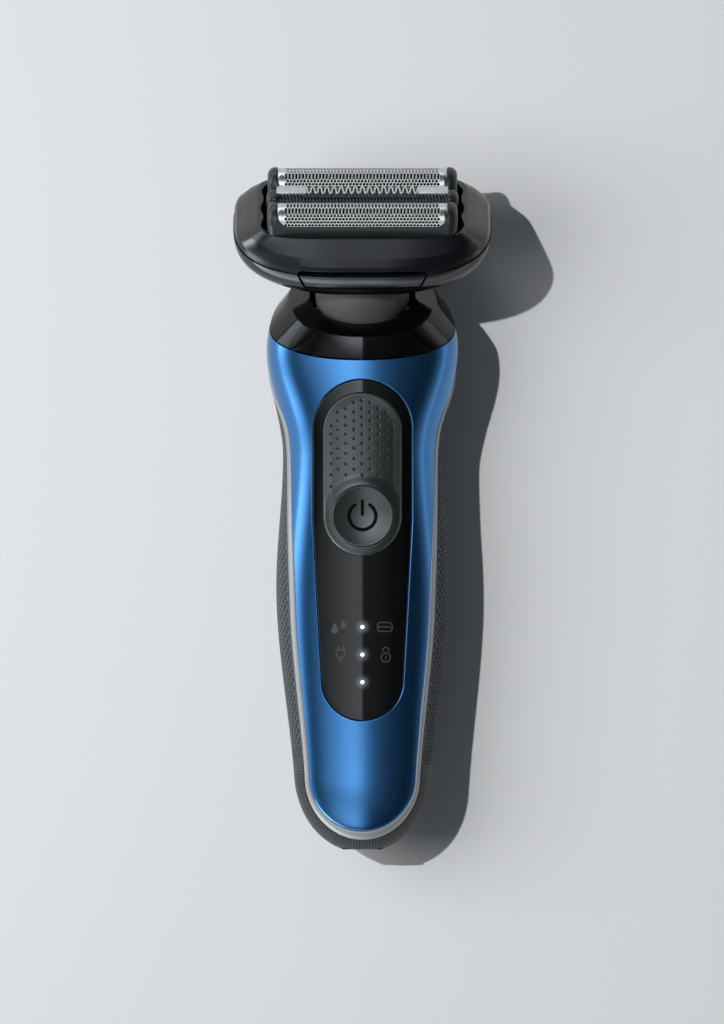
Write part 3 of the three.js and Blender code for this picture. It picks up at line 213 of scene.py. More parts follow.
def welded_mesh(name, points, faces, weld=1e-7, away_from=None):
    """A smooth mesh whose points closer than weld metres are joined. Its faces are turned outwards, and those
    of an open sheet away from a point."""
    mesh = bpy.data.meshes.new(name)
    mesh.from_pydata(points.tolist(), [], faces)
    bm = bmesh.new()
    bm.from_mesh(mesh)
    bmesh.ops.remove_doubles(bm, verts=bm.verts, dist=weld)
    bmesh.ops.recalc_face_normals(bm, faces=bm.faces)
    if away_from is not None:
        face = bm.faces[:][0]
        if (np.array(face.calc_center_median()) - away_from).dot(np.array(face.normal)) < 0:
            bmesh.ops.reverse_faces(bm, faces=bm.faces)
    bm.to_mesh(mesh)
    bm.free()
    mesh.shade_smooth()
    return mesh


def add_piece(mesh, body, material, stands_for):
    """Puts a mesh into the scene as a piece that rides on a body and stands for some solids."""
    mesh.materials.append(material)
    piece = bpy.data.objects.new(mesh.name, mesh)
    bpy.context.scene.collection.objects.link(piece)
    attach(piece, body)
    if stands_for:
        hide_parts(*stands_for)
    print(f"{mesh.name}: {len(mesh.polygons)} faces")
    return piece


def new_piece(name, shells, body, material, stands_for=(), sharp=40.0):
    """One piece from shells, each of them points in metres and lists of indices. Edges that turn by more than
    sharp degrees stay crisp."""
    points, faces, count = [], [], 0
    for shell_points, shell_faces in shells:
        points.append(shell_points.reshape(-1, 3))
        faces += [[corner + count for corner in face] for face in shell_faces]
        count += len(points[-1])
    mesh = welded_mesh(name, np.concatenate(points), faces)
    mesh.set_sharp_from_angle(angle=math.radians(sharp))
    return add_piece(mesh, body, material, stands_for)


def ring(grid):
    """Shell of a closed band: its rows and its columns both wrap round."""
    return grid, grid_faces(grid.shape[0], grid.shape[1], wrap_rows=True).tolist()


def bar(grid):
    """Shell of a bar: its columns wrap round, and its first and last rows are drawn together to points."""
    first = np.repeat(grid[:1].mean(axis=1, keepdims=True), grid.shape[1], axis=1)
    last = np.repeat(grid[-1:].mean(axis=1, keepdims=True), grid.shape[1], axis=1)
    grid = np.concatenate([first, grid, last])
    return grid, grid_faces(grid.shape[0], grid.shape[1]).tolist()


def slab(outer, inner, step=1):
    """Shell between two grids with walls round the border. The inner grid may be coarser: it then has one
    point for every step of the outer one, and each wall face spans that many."""
    rows, columns = outer.shape[:2]
    back_rows, back_columns = inner.shape[:2]
    base = rows * columns
    faces = grid_faces(rows, columns, wrap_columns=False).tolist()
    faces += grid_faces(back_rows, back_columns, wrap_columns=False, start=base)[:, ::-1].tolist()
    r, c, br, bc = (np.arange(n) for n in (rows, columns, back_rows, back_columns))
    borders = [(c, base + bc), ((rows - 1) * columns + c, base + (back_rows - 1) * back_columns + bc),
               (r * columns, base + br * back_columns),
               (r * columns + columns - 1, base + br * back_columns + back_columns - 1)]
    for front, back in borders:
        k = np.arange(len(back) - 1)
        span = front[k[:, None] * step + np.arange(step + 1)]
        faces += np.concatenate([span, back[k + 1][:, None], back[k][:, None]], axis=1).tolist()
    return np.concatenate([outer.reshape(-1, 3), inner.reshape(-1, 3)]), faces


# %% [markdown]
# ## Finishes
# Colours are written as sRGB hex values and turned to linear light once. One helper adds a shader node with
# its settings and links. Most moulded and sprayed surfaces share one trait, a fine grain that breaks the
# gloss a little, so a second helper lays a grain of a given size in millimetres over any finish.

# %% Material helpers


def linear(hex_colour):
    """An sRGB hex colour as linear red, green, blue and alpha."""
    channels = [int(hex_colour[i:i + 2], 16) / 255 for i in (1, 3, 5)]
    return tuple(c / 12.92 if c <= 0.04045 else ((c + 0.055) / 1.055) ** 2.4 for c in channels) + (1.0,)


def node(tree, kind, links=(), values=(), **settings):
    """Adds a node: settings are its properties, values its own socket values, links its inputs' sources."""
    made = tree.nodes.new(kind)
    for key, value in settings.items():
        setattr(made, key, value)
    for socket, value in dict(values).items():
        made.inputs[socket].default_value = value
    for socket, source in dict(links).items():
        tree.links.new(source, made.inputs[socket])
    return made


def maths(tree, operation, *sources, use_clamp=False):
    """The output of a math node, whose inputs are numbers or other nodes' outputs."""
    made = node(tree, "ShaderNodeMath", operation=operation, use_clamp=use_clamp)
    for socket, source in zip(made.inputs, sources):
        if isinstance(source, (int, float)):
            socket.default_value = source
        else:
            tree.links.new(source, socket)
    return made.outputs[0]


def finish(name, colour, roughness, metallic=0.0, **sockets):
    """A Principled material with its main sockets set, its tree, its shader and its object coordinates."""
    material = bpy.data.materials.new(name)
    material.use_nodes = True
    tree = material.node_tree
    shader = tree.nodes["Principled BSDF"]
    values = {"Base Color": linear(colour), "Roughness": roughness, "Metallic": metallic}
    values.update({key.replace("_", " "): value for key, value in sockets.items()})
    for socket, value in values.items():
        shader.inputs[socket].default_value = value
    place = node(tree, "ShaderNodeTexCoord").outputs["Object"]
    return material, tree, shader, place


def grain(tree, shader, place, size, height, spread, stretch=(1, 1, 1)):
    """Lays noise with features of size mm over a finish: a bump of height mm, and a roughness that varies by
    spread to both sides. stretch scales the pattern along each axis, for brushed or drawn surfaces."""
    scaled = node(tree, "ShaderNodeMapping", {"Vector": place}, {"Scale": stretch})
    noise = node(tree, "ShaderNodeTexNoise", {"Vector": scaled.outputs["Vector"]},
                 {"Scale": 1 / (size * MM), "Detail": 3.0, "Roughness": 0.55})
    bump = node(tree, "ShaderNodeBump", {"Height": noise.outputs["Fac"]}, {"Distance": height * MM})
    rough = shader.inputs["Roughness"].default_value
    varied = node(tree, "ShaderNodeMapRange", {"Value": noise.outputs["Fac"]},
                  {"From Min": 0.25, "From Max": 0.75, "To Min": rough - spread, "To Max": rough + spread})
    tree.links.new(bump.outputs["Normal"], shader.inputs["Normal"])
    tree.links.new(varied.outputs["Result"], shader.inputs["Roughness"])
    return noise


def tint(tree, shader, fac, dark, light, low=0.3, high=0.7):
    """Lets the base colour wander between two colours with a value that runs from low to high."""
    ramp = node(tree, "ShaderNodeMapRange", {"Value": fac}, {"From Min": low, "From Max": high})
    colours = node(tree, "ShaderNodeMix", {"Factor": ramp.outputs["Result"]}, data_type="RGBA")
    colours.inputs["A"].default_value, colours.inputs["B"].default_value = linear(dark), linear(light)
    tree.links.new(colours.outputs["Result"], shader.inputs["Base Color"])


# %% [markdown]
# ### Lacquers
# The blue shell is ABS sprayed with a metallic base coat and a clear coat: the flakes give a deep colour that
# turns from light to nearly black as the surface turns, and the clear coat adds a soft white sheen on top.
# The silver band is the same process with a matter clear coat.

# %% Blue and silver lacquer
# Deep blue that brightens along the crowns and darkens where it turns away.
lacquer, tree, shader, place = finish("blue_metallic_lacquer_on_abs", "#3c7cb8", 0.22, 0.96,
                                      Coat_Weight=0.5, Coat_Roughness=0.1)
flakes = grain(tree, shader, place, 0.35, 0.0002, 0.02)        # real flakes are ten times finer
tint(tree, shader, flakes.outputs["Fac"], "#3a7ab6", "#3e7eba")

# A soft grey-white line with no mirror image in it.
silver, tree, shader, place = finish("satin_silver_lacquer_on_abs", "#a2a6a8", 0.36, 0.4)
flakes = grain(tree, shader, place, 0.3, 0.004, 0.05)
tint(tree, shader, flakes.outputs["Fac"], "#9ea2a4", "#a6aaac")
print("lacquers:", lacquer.name, silver.name)

# %% [markdown]
# ### Plastics and rubber
# The head is ABS from a finely etched mould, which looks satin. The collar and the panel come from a polished
# mould in polycarbonate, so they mirror the room. The pad and the button have a soft-touch coat, and the grip
# is a moulded elastomer: both scatter most of the light.

# %% Dark plastics and rubber
# Nearly black, with long blurred highlights along the edges.
satin, tree, shader, place = finish("satin_blue_black_abs", "#0d1013", 0.17, Specular_IOR_Level=0.75)
grain(tree, shader, place, 0.4, 0.003, 0.03)

# A shade greyer and duller than the shells round it.
carrier_plastic, tree, shader, place = finish("satin_grey_black_pom", "#1f2425", 0.3)
grain(tree, shader, place, 0.4, 0.003, 0.03)

# Black glass: it shows the edge of the card as a crisp line.
gloss, tree, shader, place = finish("gloss_black_polycarbonate", "#050607", 0.05)
grain(tree, shader, place, 6.0, 0.0015, 0.012)                # the long ripple of a polished moulding

# Dark and velvety, with a broad pale sheen where it faces the card.
soft, tree, shader, place = finish("soft_touch_coat_on_abs", "#1e2121", 0.31, Specular_IOR_Level=1.0)
grain(tree, shader, place, 0.45, 0.004, 0.04)

# Dull mid grey whose dimples read as dark dots, partly from painted shade in the pits below.
rubber, tree, shader, place = finish("moulded_grey_elastomer_with_painted_shade", "#4b4f53", 0.62,
                                     Sheen_Weight=0.1, Sheen_Roughness=0.5)
specks = grain(tree, shader, place, 0.5, 0.012, 0.07)
tint(tree, shader, specks.outputs["Fac"], "#46494d", "#515559")
print("plastics and rubber:", satin.name, carrier_plastic.name, gloss.name, soft.name, rubber.name)

# %% [markdown]
# ### Ribs, and painted shade on the rubber
# Round its foot the grip has fine ribs that fan out like the spokes of a wheel and run straight on behind the
# wheel's centre. They are relief in the finish: a sine of the distance along the ribs' rim, faded out above
# the foot. Shade is also painted into the rubber's colour where light hardly reaches: the whole foot is painted
# darker, most in the ribs' grooves by the same sine, and the dimples by how much of the sky their points can see.

# %% The rubber's ribs and pits
RIB_TURN_Y, RIB_TURN_R, FOOT_RIB_PITCH, RIB_HEIGHT = 17.0, 17.5, 0.75, 0.12
RIBS_END, RIBS_FADE = 17.5, 7.0
# Painted shade: the near black that the foot and the dimples are darkened towards, and its largest share on the
# foot.
PAINTED_SHADE_COLOUR, FOOT_PAINTED_SHADE_MOST = "#0b0c0d", 0.95
PIT_LOOK, PIT_DARK, PIT_LIGHT = 0.8, 0.4, 0.92        # how far it looks in mm, and the open shares it spans

spot = node(tree, "ShaderNodeSeparateXYZ", {0: place})
foot_y = maths(tree, "SUBTRACT", float(RIB_TURN_Y + HANDLE_START) * MM, spot.outputs["Y"])
aside = maths(tree, "ABSOLUTE", spot.outputs["X"])
spoke = maths(tree, "ARCTAN2", aside, maths(tree, "MAXIMUM", foot_y, 0.0))
straight = maths(tree, "MAXIMUM", maths(tree, "MULTIPLY", foot_y, -1 / (RIB_TURN_R * MM)), 0.0)
phase_per_radian = 2 * math.pi * RIB_TURN_R / FOOT_RIB_PITCH
phase = maths(tree, "MULTIPLY", maths(tree, "ADD", spoke, straight), phase_per_radian)
rib_wave = maths(tree, "MULTIPLY_ADD", maths(tree, "SINE", phase), 0.5, 0.5)
ribs_gone = RIB_TURN_Y - RIBS_END
in_foot = node(tree, "ShaderNodeMapRange", {"Value": foot_y},
               {"From Min": (ribs_gone - RIBS_FADE) * MM, "From Max": ribs_gone * MM})
rib_height = maths(tree, "MULTIPLY", rib_wave, in_foot.outputs["Result"])
smooth_normal = shader.inputs["Normal"].links[0].from_socket
ribbed = node(tree, "ShaderNodeBump", {"Height": rib_height, "Normal": smooth_normal},
              {"Distance": RIB_HEIGHT * MM})
tree.links.new(ribbed.outputs["Normal"], shader.inputs["Normal"])

# Painted shade on the foot: its colour is darkened towards near black, by 45 to 95 percent along the ribs' sine,
# standing in for the shade on the foot's end; it fades out above the foot.
foot_shade_by_rib = maths(tree, "SUBTRACT", FOOT_PAINTED_SHADE_MOST, maths(tree, "MULTIPLY", rib_wave, 0.5))
foot_painted_shade = maths(tree, "MULTIPLY", in_foot.outputs["Result"], foot_shade_by_rib)
rubber_with_foot_shade = node(tree, "ShaderNodeMix", {"Factor": foot_painted_shade}, data_type="RGBA")
tree.links.new(shader.inputs["Base Color"].links[0].from_socket, rubber_with_foot_shade.inputs["A"])
rubber_with_foot_shade.inputs["B"].default_value = linear(PAINTED_SHADE_COLOUR)
# Painted shade in the dimples: the less of the sky a point sees within a short reach, the more its colour is
# darkened towards the same near black.
open_share = node(tree, "ShaderNodeAmbientOcclusion", {}, {"Distance": PIT_LOOK * MM}, samples=8,
                  only_local=True)
pitted = node(tree, "ShaderNodeMapRange", {"Value": open_share.outputs["AO"]},
              {"From Min": PIT_DARK, "From Max": PIT_LIGHT})
rubber_with_pit_shade = node(tree, "ShaderNodeMix", {"Factor": pitted.outputs["Result"]}, data_type="RGBA")
rubber_with_pit_shade.inputs["A"].default_value = linear(PAINTED_SHADE_COLOUR)
tree.links.new(rubber_with_foot_shade.outputs["Result"], rubber_with_pit_shade.inputs["B"])
tree.links.new(rubber_with_pit_shade.outputs["Result"], shader.inputs["Base Color"])
print("ribs in half a turn round the foot:", round(math.pi * RIB_TURN_R / FOOT_RIB_PITCH))

# %% The neck's plastic and the printing inks
# Flat warm grey, the only plain matte surface.
neck_plastic, tree, shader, place = finish("matte_grey_abs", "#575756", 0.6)
grain(tree, shader, place, 0.5, 0.008, 0.05)

# Dead black on the grey button, without a highlight.
ink, tree, shader, place = finish("black_pad_print", "#030304", 0.6, Specular_IOR_Level=0.1)
grain(tree, shader, place, 0.3, 0.002, 0.04)
# Faint grey lines that only just stand out from the black panel.
grey_ink, tree, shader, place = finish("grey_pad_print", "#3c3f41", 0.4)
grain(tree, shader, place, 0.3, 0.002, 0.04)

# %% [markdown]
# ### Metals
# The foils are electroformed nickel on steel: bright, with a faint grain along the sheet. The comb is ground
# steel. The blades inside are hardened steel, darker from oil. Contacts are brass.

# %% Metals
# Bright and slightly warm, between the dark holes.
foil_steel, tree, shader, place = finish("electroformed_nickel_foil", "#d4d3d0", 0.24, 1.0)
grain(tree, shader, place, 0.25, 0.002, 0.05, stretch=(0.2, 1, 1))
# White, with fine streaks along the comb.
comb_steel, tree, shader, place = finish("ground_stainless_steel", "#d2d3d3", 0.27, 1.0)
grain(tree, shader, place, 0.2, 0.003, 0.06, stretch=(0.15, 1, 1))
# Dark grey metal that gleams dully behind the holes.
blade_steel, tree, shader, place = finish("oiled_hardened_steel", "#4c4f52", 0.4, 1.0)
grain(tree, shader, place, 0.3, 0.003, 0.08)
# Pale gold dots in the charging socket.
brass, tree, shader, place = finish("plated_brass", "#b89b5e", 0.3, 1.0)
grain(tree, shader, place, 0.3, 0.002, 0.05)
print("metals:", foil_steel.name, comb_steel.name, blade_steel.name, brass.name)

# %% [markdown]
# ## The front shell
# The blue shell is one moulding with a window for the control panel. Its surface runs from the window's
# outline to the shell's own edge. Both outlines are closed curves with the same number of points, laid out
# in matching stretches: the foot, the sides and the top under the collar. Blending one into the other in
# the surface's own coordinates keeps every point on the casing.

# %% Outlines on the handle
PANEL_TOP, PANEL_HALF, PANEL_SIDE = 110.9, 11.8, 78.0
FOOT_HALF, FOOT_Y, PANEL_BOTTOM = 9.7, 40.0, 30.5
SHELL_FOOT_HALF, SHELL_END = 12.6, 4.5
TRIM_SPREAD, TRIM_END = 7.3, 2.2
COLLAR_CUT = -4.5
WAIST, WAIST_FROM, WAIST_Y = 25.5, 58, 98          # the edge climbs to this angle between these places
CROWN, CROWN_Y = -12.0, 120                        # and drops to this one at the shoulder
FOOT_STEPS, SIDE_STEPS, TOP_STEPS = 48, 90, 40


def edge_angle(y, spread, end):
    """Angle of the shell's edge at y, moved down round the section by spread degrees; it closes to the top of
    the section at end."""
    t = np.clip((END_ROUND - y) / (END_ROUND - end), 0, 1)
    arch = np.sqrt(1 - t ** 2)
    half = half_width(np.minimum(y, END_ROUND)) * end_scale(y, 0, 2)
    share = np.clip(SHELL_FOOT_HALF * arch / half, 0, 1)
    foot = np.degrees(np.arccos(share ** (FRONT_FULL / 2)))
    to_waist = smooth(np.clip((y - WAIST_FROM) / (WAIST_Y - WAIST_FROM), 0, 1))
    to_crown = smooth(np.clip((y - WAIST_Y) / (CROWN_Y - WAIST_Y), 0, 1))
    return foot + (WAIST - foot) * to_waist + (CROWN - WAIST) * to_crown - spread * arch


def edge_curve(spread, end, height=COLLAR_CUT):
    """Angle and y along the right half of the shell's edge, from the foot's middle up to the collar."""
    turn = np.radians(np.linspace(0, 90, FOOT_STEPS, endpoint=False))
    foot_y = END_ROUND - (END_ROUND - end) * np.cos(turn)
    top_y = meeting_y(lambda y: edge_angle(y, spread, end), 1, height)[0]
    y = np.concatenate([foot_y, np.linspace(END_ROUND, top_y, SIDE_STEPS)])
    return edge_angle(y, spread, end), y


def closed_half(angle, y):
    """The right half of an outline joined to its mirror image as one loop."""
    return np.concatenate([angle, 180 - angle[-2:0:-1]]), np.concatenate([y, y[-2:0:-1]])


def shell_outline(spread, end, height=COLLAR_CUT):
    """The shell's own edge as one loop: foot and side, then the line under the collar."""
    angle, y = edge_curve(spread, end, height)
    top = np.linspace(angle[-1], 90, TOP_STEPS + 1)[1:]
    top_y = meeting_y(lambda _: top, len(top), height)
    return closed_half(np.concatenate([angle, top]), np.concatenate([y, top_y]))


def panel_plan(margin):
    """Right half of the panel's outline in plan, grown by margin: foot arc, leaning side, straight and top
    arc."""
    foot = np.radians(np.linspace(90, 0, FOOT_STEPS, endpoint=False))
    foot_x = (FOOT_HALF + margin) * np.cos(foot)
    foot_y = FOOT_Y - (FOOT_Y - PANEL_BOTTOM + margin) * np.sin(foot)
    round_y = PANEL_TOP - PANEL_HALF
    side_y = np.linspace(FOOT_Y, round_y, SIDE_STEPS)
    side_x = np.interp(side_y, [FOOT_Y, PANEL_SIDE], [FOOT_HALF, PANEL_HALF]) + margin
    top = np.radians(np.linspace(0, 90, TOP_STEPS + 1))[1:]
    top_x = (PANEL_HALF + margin) * np.cos(top)
    top_y = round_y + (PANEL_HALF + margin) * np.sin(top)
    return np.concatenate([foot_x, side_x, top_x]), np.concatenate([foot_y, side_y, top_y])


def panel_outline(margin):
    """The panel's outline as one loop of angle and y."""
    x, y = panel_plan(margin)
    return closed_half(angle_over(x, y), y)


def loop_rows(loops):
    """Grid of points from rows of (angle, y, inset)."""
    return np.stack([from_handle(*handle_surface(angle, y, inset)) for angle, y, inset in loops])


# %% The front shell
SHELL_WALL = 1.6
SEAM = 0.06                      # half the open line round a fitted piece
window = panel_outline(SEAM)
rim = panel_outline(0.24)
edge = shell_outline(-0.9, SHELL_END + 0.25, COLLAR_CUT - 0.1)
edge_low = shell_outline(0.0, SHELL_END, COLLAR_CUT)
rows = [(*window, SHELL_WALL), (*window, 0.42), (*panel_outline(0.08), 0.12), (*panel_outline(0.18), 0.02)]
for t in np.concatenate([[0, 0.006], np.linspace(0, 1, 40)[1:]]):
    rows.append((rim[0] + (edge[0] - rim[0]) * t, rim[1] + (edge[1] - rim[1]) * t, 0.0))
rows += [(*shell_outline(-0.35, SHELL_END + 0.1, COLLAR_CUT - 0.03), 0.06), (*edge_low, 0.22),
         (*edge_low, SHELL_WALL)]
new_piece("front_shell_skin", [ring(loop_rows(rows))], "handle", lacquer, ["front_shell"],
          sharp=28)

# %% [markdown]
# ## The trim ring
# A slim satin silver band runs beside the shell's edge from the collar round the foot and back. Its section
# is a low crown with eased edges, carried along the shell's edge. Its two ends under the collar are closed.

# %% The trim ring


def strip_rows(spread, end, inset):
    """Points along the whole edge line, left end to right end, at a spread and an inset."""
    angle, y = edge_curve(spread, end)
    angle, y = np.concatenate([180 - angle[:0:-1], angle]), np.concatenate([y[:0:-1], y])
    return from_handle(*handle_surface(angle, y, inset))


TRIM_SECTION = [(0.35, 1.5), (0.35, 0.2), (0.6, 0.04), (1.2, -0.04), (2.4, -0.1), (3.8, -0.12), (5.2, -0.1),
                (6.2, -0.05), (6.9, 0.04), (7.15, 0.2), (7.15, 1.5)]


def trim_end(spread):
    """Where the band's line at a spread closes round the foot: from the shell's end to the band's own."""
    return SHELL_END + (TRIM_END - SHELL_END) * spread / TRIM_SPREAD


trim = np.stack([strip_rows(spread, trim_end(spread), inset) for spread, inset in TRIM_SECTION], axis=1)
new_piece("trim_band", [bar(trim)], "handle", silver, ["trim_ring"], sharp=50)

# %% [markdown]
# ## The rubber grip
# The grip is a skin over the sides, the back and the foot, with the charging socket's hole in its end. It is
# covered with small round dimples in staggered rows, which fade out towards the foot and the collar. They are
# cut into the mesh, not painted: the grid's rows and columns are laid so that each dimple has a point at its
# bottom and a ring of points round it. The inner face needs no detail, so it has a quarter of the rows and
# columns.

# %% The grip
GRIP_SKIN, GRIP_START = 1.5, 0.25                         # the skin's thickness, and where its rows begin
GRIP_COLUMNS, GRIP_FOOT_ROWS, GRIP_ROWS, STEP = 240, 36, 336, 4
DIMPLE, DIMPLE_DEPTH, DIMPLE_REACH = 6, 0.85, 1.35       # period and reach in grid steps, depth in mm
SOCKET_HALF, SOCKET_RISE, SOCKET_GAP = 4.6, 3.4, 0.05
SOCKET_EDGE = [(0, 1.6), (0, 0.12), (0.12, 0.0)]         # the hole's eased edge: its growth and its depth
END_FACE, END_SHARE = 0.05, 0.94                          # the flat end and its share of the way to its rim
SOCKET_Z = float(middle_height(0.0))
DIMPLES_FROM, DIMPLES_TO = 19, 126


def dimple_fade(y):
    """Share of a dimple's depth at y: it grows over 4 mm at the foot and goes over 3 mm at the collar."""
    return np.clip((y - DIMPLES_FROM) / 4, 0, 1) * np.clip((DIMPLES_TO - y) / 3, 0, 1)


def grip_angle(y, across):
    """Angle at y of the line that lies a share across the grip, from one side of the band round the back."""
    start = np.minimum(edge_angle(y, TRIM_SPREAD + 0.2, TRIM_END), 89.98)
    return start - across * (180 + 2 * start)


def grip_grid(inset, columns, rows):
    """Rows from the foot to the collar; columns from one side of the trim ring round the back to the other.
    Where the band has ended, at the foot, the two sides meet in front."""
    first = GRIP_START + inset
    turn = np.radians(np.linspace(0, 90, rows[0], endpoint=False))
    foot_y = END_ROUND - (END_ROUND - first) * np.cos(turn)
    across = np.linspace(0, 1, columns)
    near = across[:(columns + 1) // 2]
    half = meeting_y(lambda y: grip_angle(y, near), len(near), COLLAR_CUT, inset)
    top_y = np.concatenate([half, half[:columns // 2][::-1]])
    y = np.concatenate([np.repeat(foot_y[:, None], columns, axis=1),
                        END_ROUND + (top_y - END_ROUND) * np.linspace(0, 1, rows[1])[:, None]])
    return grip_angle(y, across), y


def socket_row(angle, grow, y):
    """The socket's rectangle, grown, seen under the section's own angles, at a depth y."""
    c, s = np.cos(np.radians(angle)), np.sin(np.radians(angle))
    reach = 1 / np.maximum(np.abs(c) / (SOCKET_HALF + grow), np.abs(s) / (SOCKET_RISE + grow))
    return from_handle(reach * c, np.full(len(angle), y), SOCKET_Z + reach * s)


angle, y = grip_grid(0.0, GRIP_COLUMNS + 1, (GRIP_FOOT_ROWS, GRIP_ROWS + 1))
i, j = np.meshgrid(np.arange(y.shape[0]) - GRIP_FOOT_ROWS, np.arange(y.shape[1]), indexing="ij")


def dimple_at(i, j, shift):
    """Depth share of a dimple lattice in grid steps: 1 at a centre, and down a parabola to 0 at its reach."""
    di = (i + shift + DIMPLE / 2) % DIMPLE - DIMPLE / 2
    dj = (j + shift + DIMPLE / 2) % DIMPLE - DIMPLE / 2
    return np.clip(1 - (di ** 2 + dj ** 2) / DIMPLE_REACH ** 2, 0, 1)


edge_gap = np.minimum(j, GRIP_COLUMNS - j)
depth = DIMPLE_DEPTH * dimple_fade(y) * (dimple_at(i, j, 0) + dimple_at(i, j, DIMPLE // 2)) * (edge_gap > 2)
border = 0.25 * np.clip(1 - edge_gap, 0, 1) * (y > TRIM_END + 0.4)
skin = from_handle(*handle_surface(angle, y, depth + border))
socket_rim = [socket_row(angle[0], SOCKET_GAP + grow, deep) for grow, deep in SOCKET_EDGE]
end_face = from_handle(*handle_surface(angle[0], np.full(len(angle[0]), END_FACE)))
socket_rim.append(socket_rim[-1] + (end_face - socket_rim[-1]) * END_SHARE)
outer = np.concatenate([np.stack(socket_rim), skin])
coarse = grip_grid(GRIP_SKIN, GRIP_COLUMNS // STEP + 1, (GRIP_FOOT_ROWS // STEP, GRIP_ROWS // STEP + 1))
inner = from_handle(*handle_surface(*coarse, GRIP_SKIN))
inner = np.concatenate([socket_row(coarse[0][0], SOCKET_GAP, 1.7)[None], inner])
new_piece("grip_skin", [slab(outer, inner, STEP)], "handle", rubber, ["grip"], sharp=35)
print("dimples, about:", 2 * (GRIP_ROWS // DIMPLE) * (GRIP_COLUMNS // DIMPLE))

# %% [markdown]
# ## The collar
# A gloss black collar closes the handle round the neck. A crease divides it into a swelling lower band and a
# bevel that climbs to the rim. In front the crease is crisp, and towards the sides it softens until band and
# bevel run into each other. Each column of the grid is the profile rim, crease, lower edge, with the corner
# at the crease replaced by a quadratic curve whose reach grows towards the sides.

# %% The collar
AROUND = 240
ring_angle = np.linspace(0, 360, AROUND, endpoint=False)
COLLAR_LOW, CREASE_H, RIM_H = -4.2, -0.56, 0.5
HOLE, RIM = 12.4, 12.9
BELLY = 0.46                          # the band's bow: 0.5 is straight
CRISP, SOFT = 0.03, 0.08              # the crease's reach in front and at the sides
CREASE_HALF_X, CREASE_HALF_Y, CREASE_OFF, CREASE_POWER = 17.5, 16.05, 0.45, 2.15


def crease_ring(inset):
    """x and y in the head's axes of the crease: an ellipse, deeper in front than behind."""
    c, s = np.cos(np.radians(ring_angle)), np.sin(np.radians(ring_angle))
    depth = CREASE_HALF_Y + CREASE_OFF * s - inset
    return (CREASE_HALF_X - inset) * power(c, 2 / CREASE_POWER), -depth * power(s, 2 / CREASE_POWER)


def plane_ring(height, inset):
    """x and y in the head's axes where the handle's surface meets a plane across the neck."""
    y = meeting_y(lambda _: ring_angle, AROUND, height, inset)
    x, y, z = handle_surface(ring_angle, y, inset)
    return x, HEAD_BACK[1] * (y - NECK_Y) + HEAD_BACK[2] * (z - NECK[2])


def round_ring(radius):
    """x and y of a circle round the neck, in step with the other rings."""
    return radius * np.cos(np.radians(ring_angle)), -radius * np.sin(np.radians(ring_angle))


def lifted(ring_xy, height):
    """Points of the head from a ring's x and y and its height."""
    return from_head(*ring_xy, np.full(len(ring_xy[0]), height))


rim, crease = lifted(round_ring(RIM), RIM_H), lifted(crease_ring(0), CREASE_H)
low_edge = lifted(plane_ring(COLLAR_LOW, 0), COLLAR_LOW)


def band_point(t):
    """The lower band at a share t of the way down: it bows outwards, most in its upper half."""
    side = t + (4 * BELLY - 2) * t * (1 - t)
    flat = crease + (low_edge - crease) * t
    out = (low_edge - crease) - np.sum((low_edge - crease) * HEAD_UP, axis=1, keepdims=True) * HEAD_UP
    return flat + out * (side - t)


to_side = np.clip((np.abs(crease_ring(0)[0]) - 5) / 10, 0, 1)[:, None]
reach = CRISP + (SOFT - CRISP) * smooth(to_side)
bevel_end, band_start = crease + (rim - crease) * reach, band_point(reach)
rows = [lifted(round_ring(HOLE), -3.0), lifted(round_ring(HOLE), RIM_H - 0.15),
        lifted(round_ring(HOLE + 0.15), RIM_H)]
rows += [rim + (bevel_end - rim) * t for t in np.linspace(0, 1, 8)]
rows += [bevel_end * (1 - t) ** 2 + crease * 2 * t * (1 - t) + band_start * t ** 2
         for t in np.linspace(0, 1, 10)[1:-1]]
rows += [band_point(reach + (1 - reach) * t) for t in np.linspace(0, 1, 16)]
rows += [lifted(plane_ring(COLLAR_LOW, 1.6), COLLAR_LOW), lifted(crease_ring(2.0), -2.4)]
new_piece("collar_skin", [ring(np.stack(rows))], "handle", gloss, ["collar"], sharp=18)

# %% [markdown]
# ## The control panel
# The panel is a gloss black plate in the shell's window, with a pad in its upper part and three small lights
# below. Round the three places the plate's own material has a painted glow, emission that stands in for the
# haze of light round each lit guide. The glow is the third power of how near a point is, so it dies away fast.

# %% The panel's plate
PAD_HALF, PAD_TOP = 9.3, 107.9
BUTTON_Y, BUTTON_R = 78.7, 7.25
LIGHT_PLACES = [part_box(f"light_guide_{k}") for k in (1, 2, 3)]
LIGHT_Y = [float((low[1] + high[1]) / 2) / MM - HANDLE_START for low, high in LIGHT_PLACES]
LENS_R, PAINTED_GLOW_REACH, PAINTED_GLOW_STRENGTH = 0.42, 2.6, 0.22

# The same black glass, with a painted white glow round each light.
panel_gloss, tree, shader, place = finish("gloss_black_polycarbonate_painted_glow", "#050607", 0.045)
grain(tree, shader, place, 6.0, 0.0015, 0.01)
# Painted glow: emission in the plate itself, strongest next to each lens and fading with distance.
painted_glow = 0.0
for light_y in LIGHT_Y:
    centre = from_handle(0.0, light_y, float(front_height(light_y)))
    away = node(tree, "ShaderNodeVectorMath", {0: place}, {1: tuple(centre)}, operation="DISTANCE")
    near = node(tree, "ShaderNodeMapRange", {"Value": away.outputs["Value"]},
                {"From Min": LENS_R * MM, "From Max": PAINTED_GLOW_REACH * MM, "To Min": 1.0, "To Max": 0.0})
    painted_glow = maths(tree, "ADD", painted_glow, maths(tree, "POWER", near.outputs["Result"], 3.0))
shader.inputs["Emission Color"].default_value = linear("#dfe6ff")
tree.links.new(maths(tree, "MULTIPLY", painted_glow, PAINTED_GLOW_STRENGTH), shader.inputs["Emission Strength"])


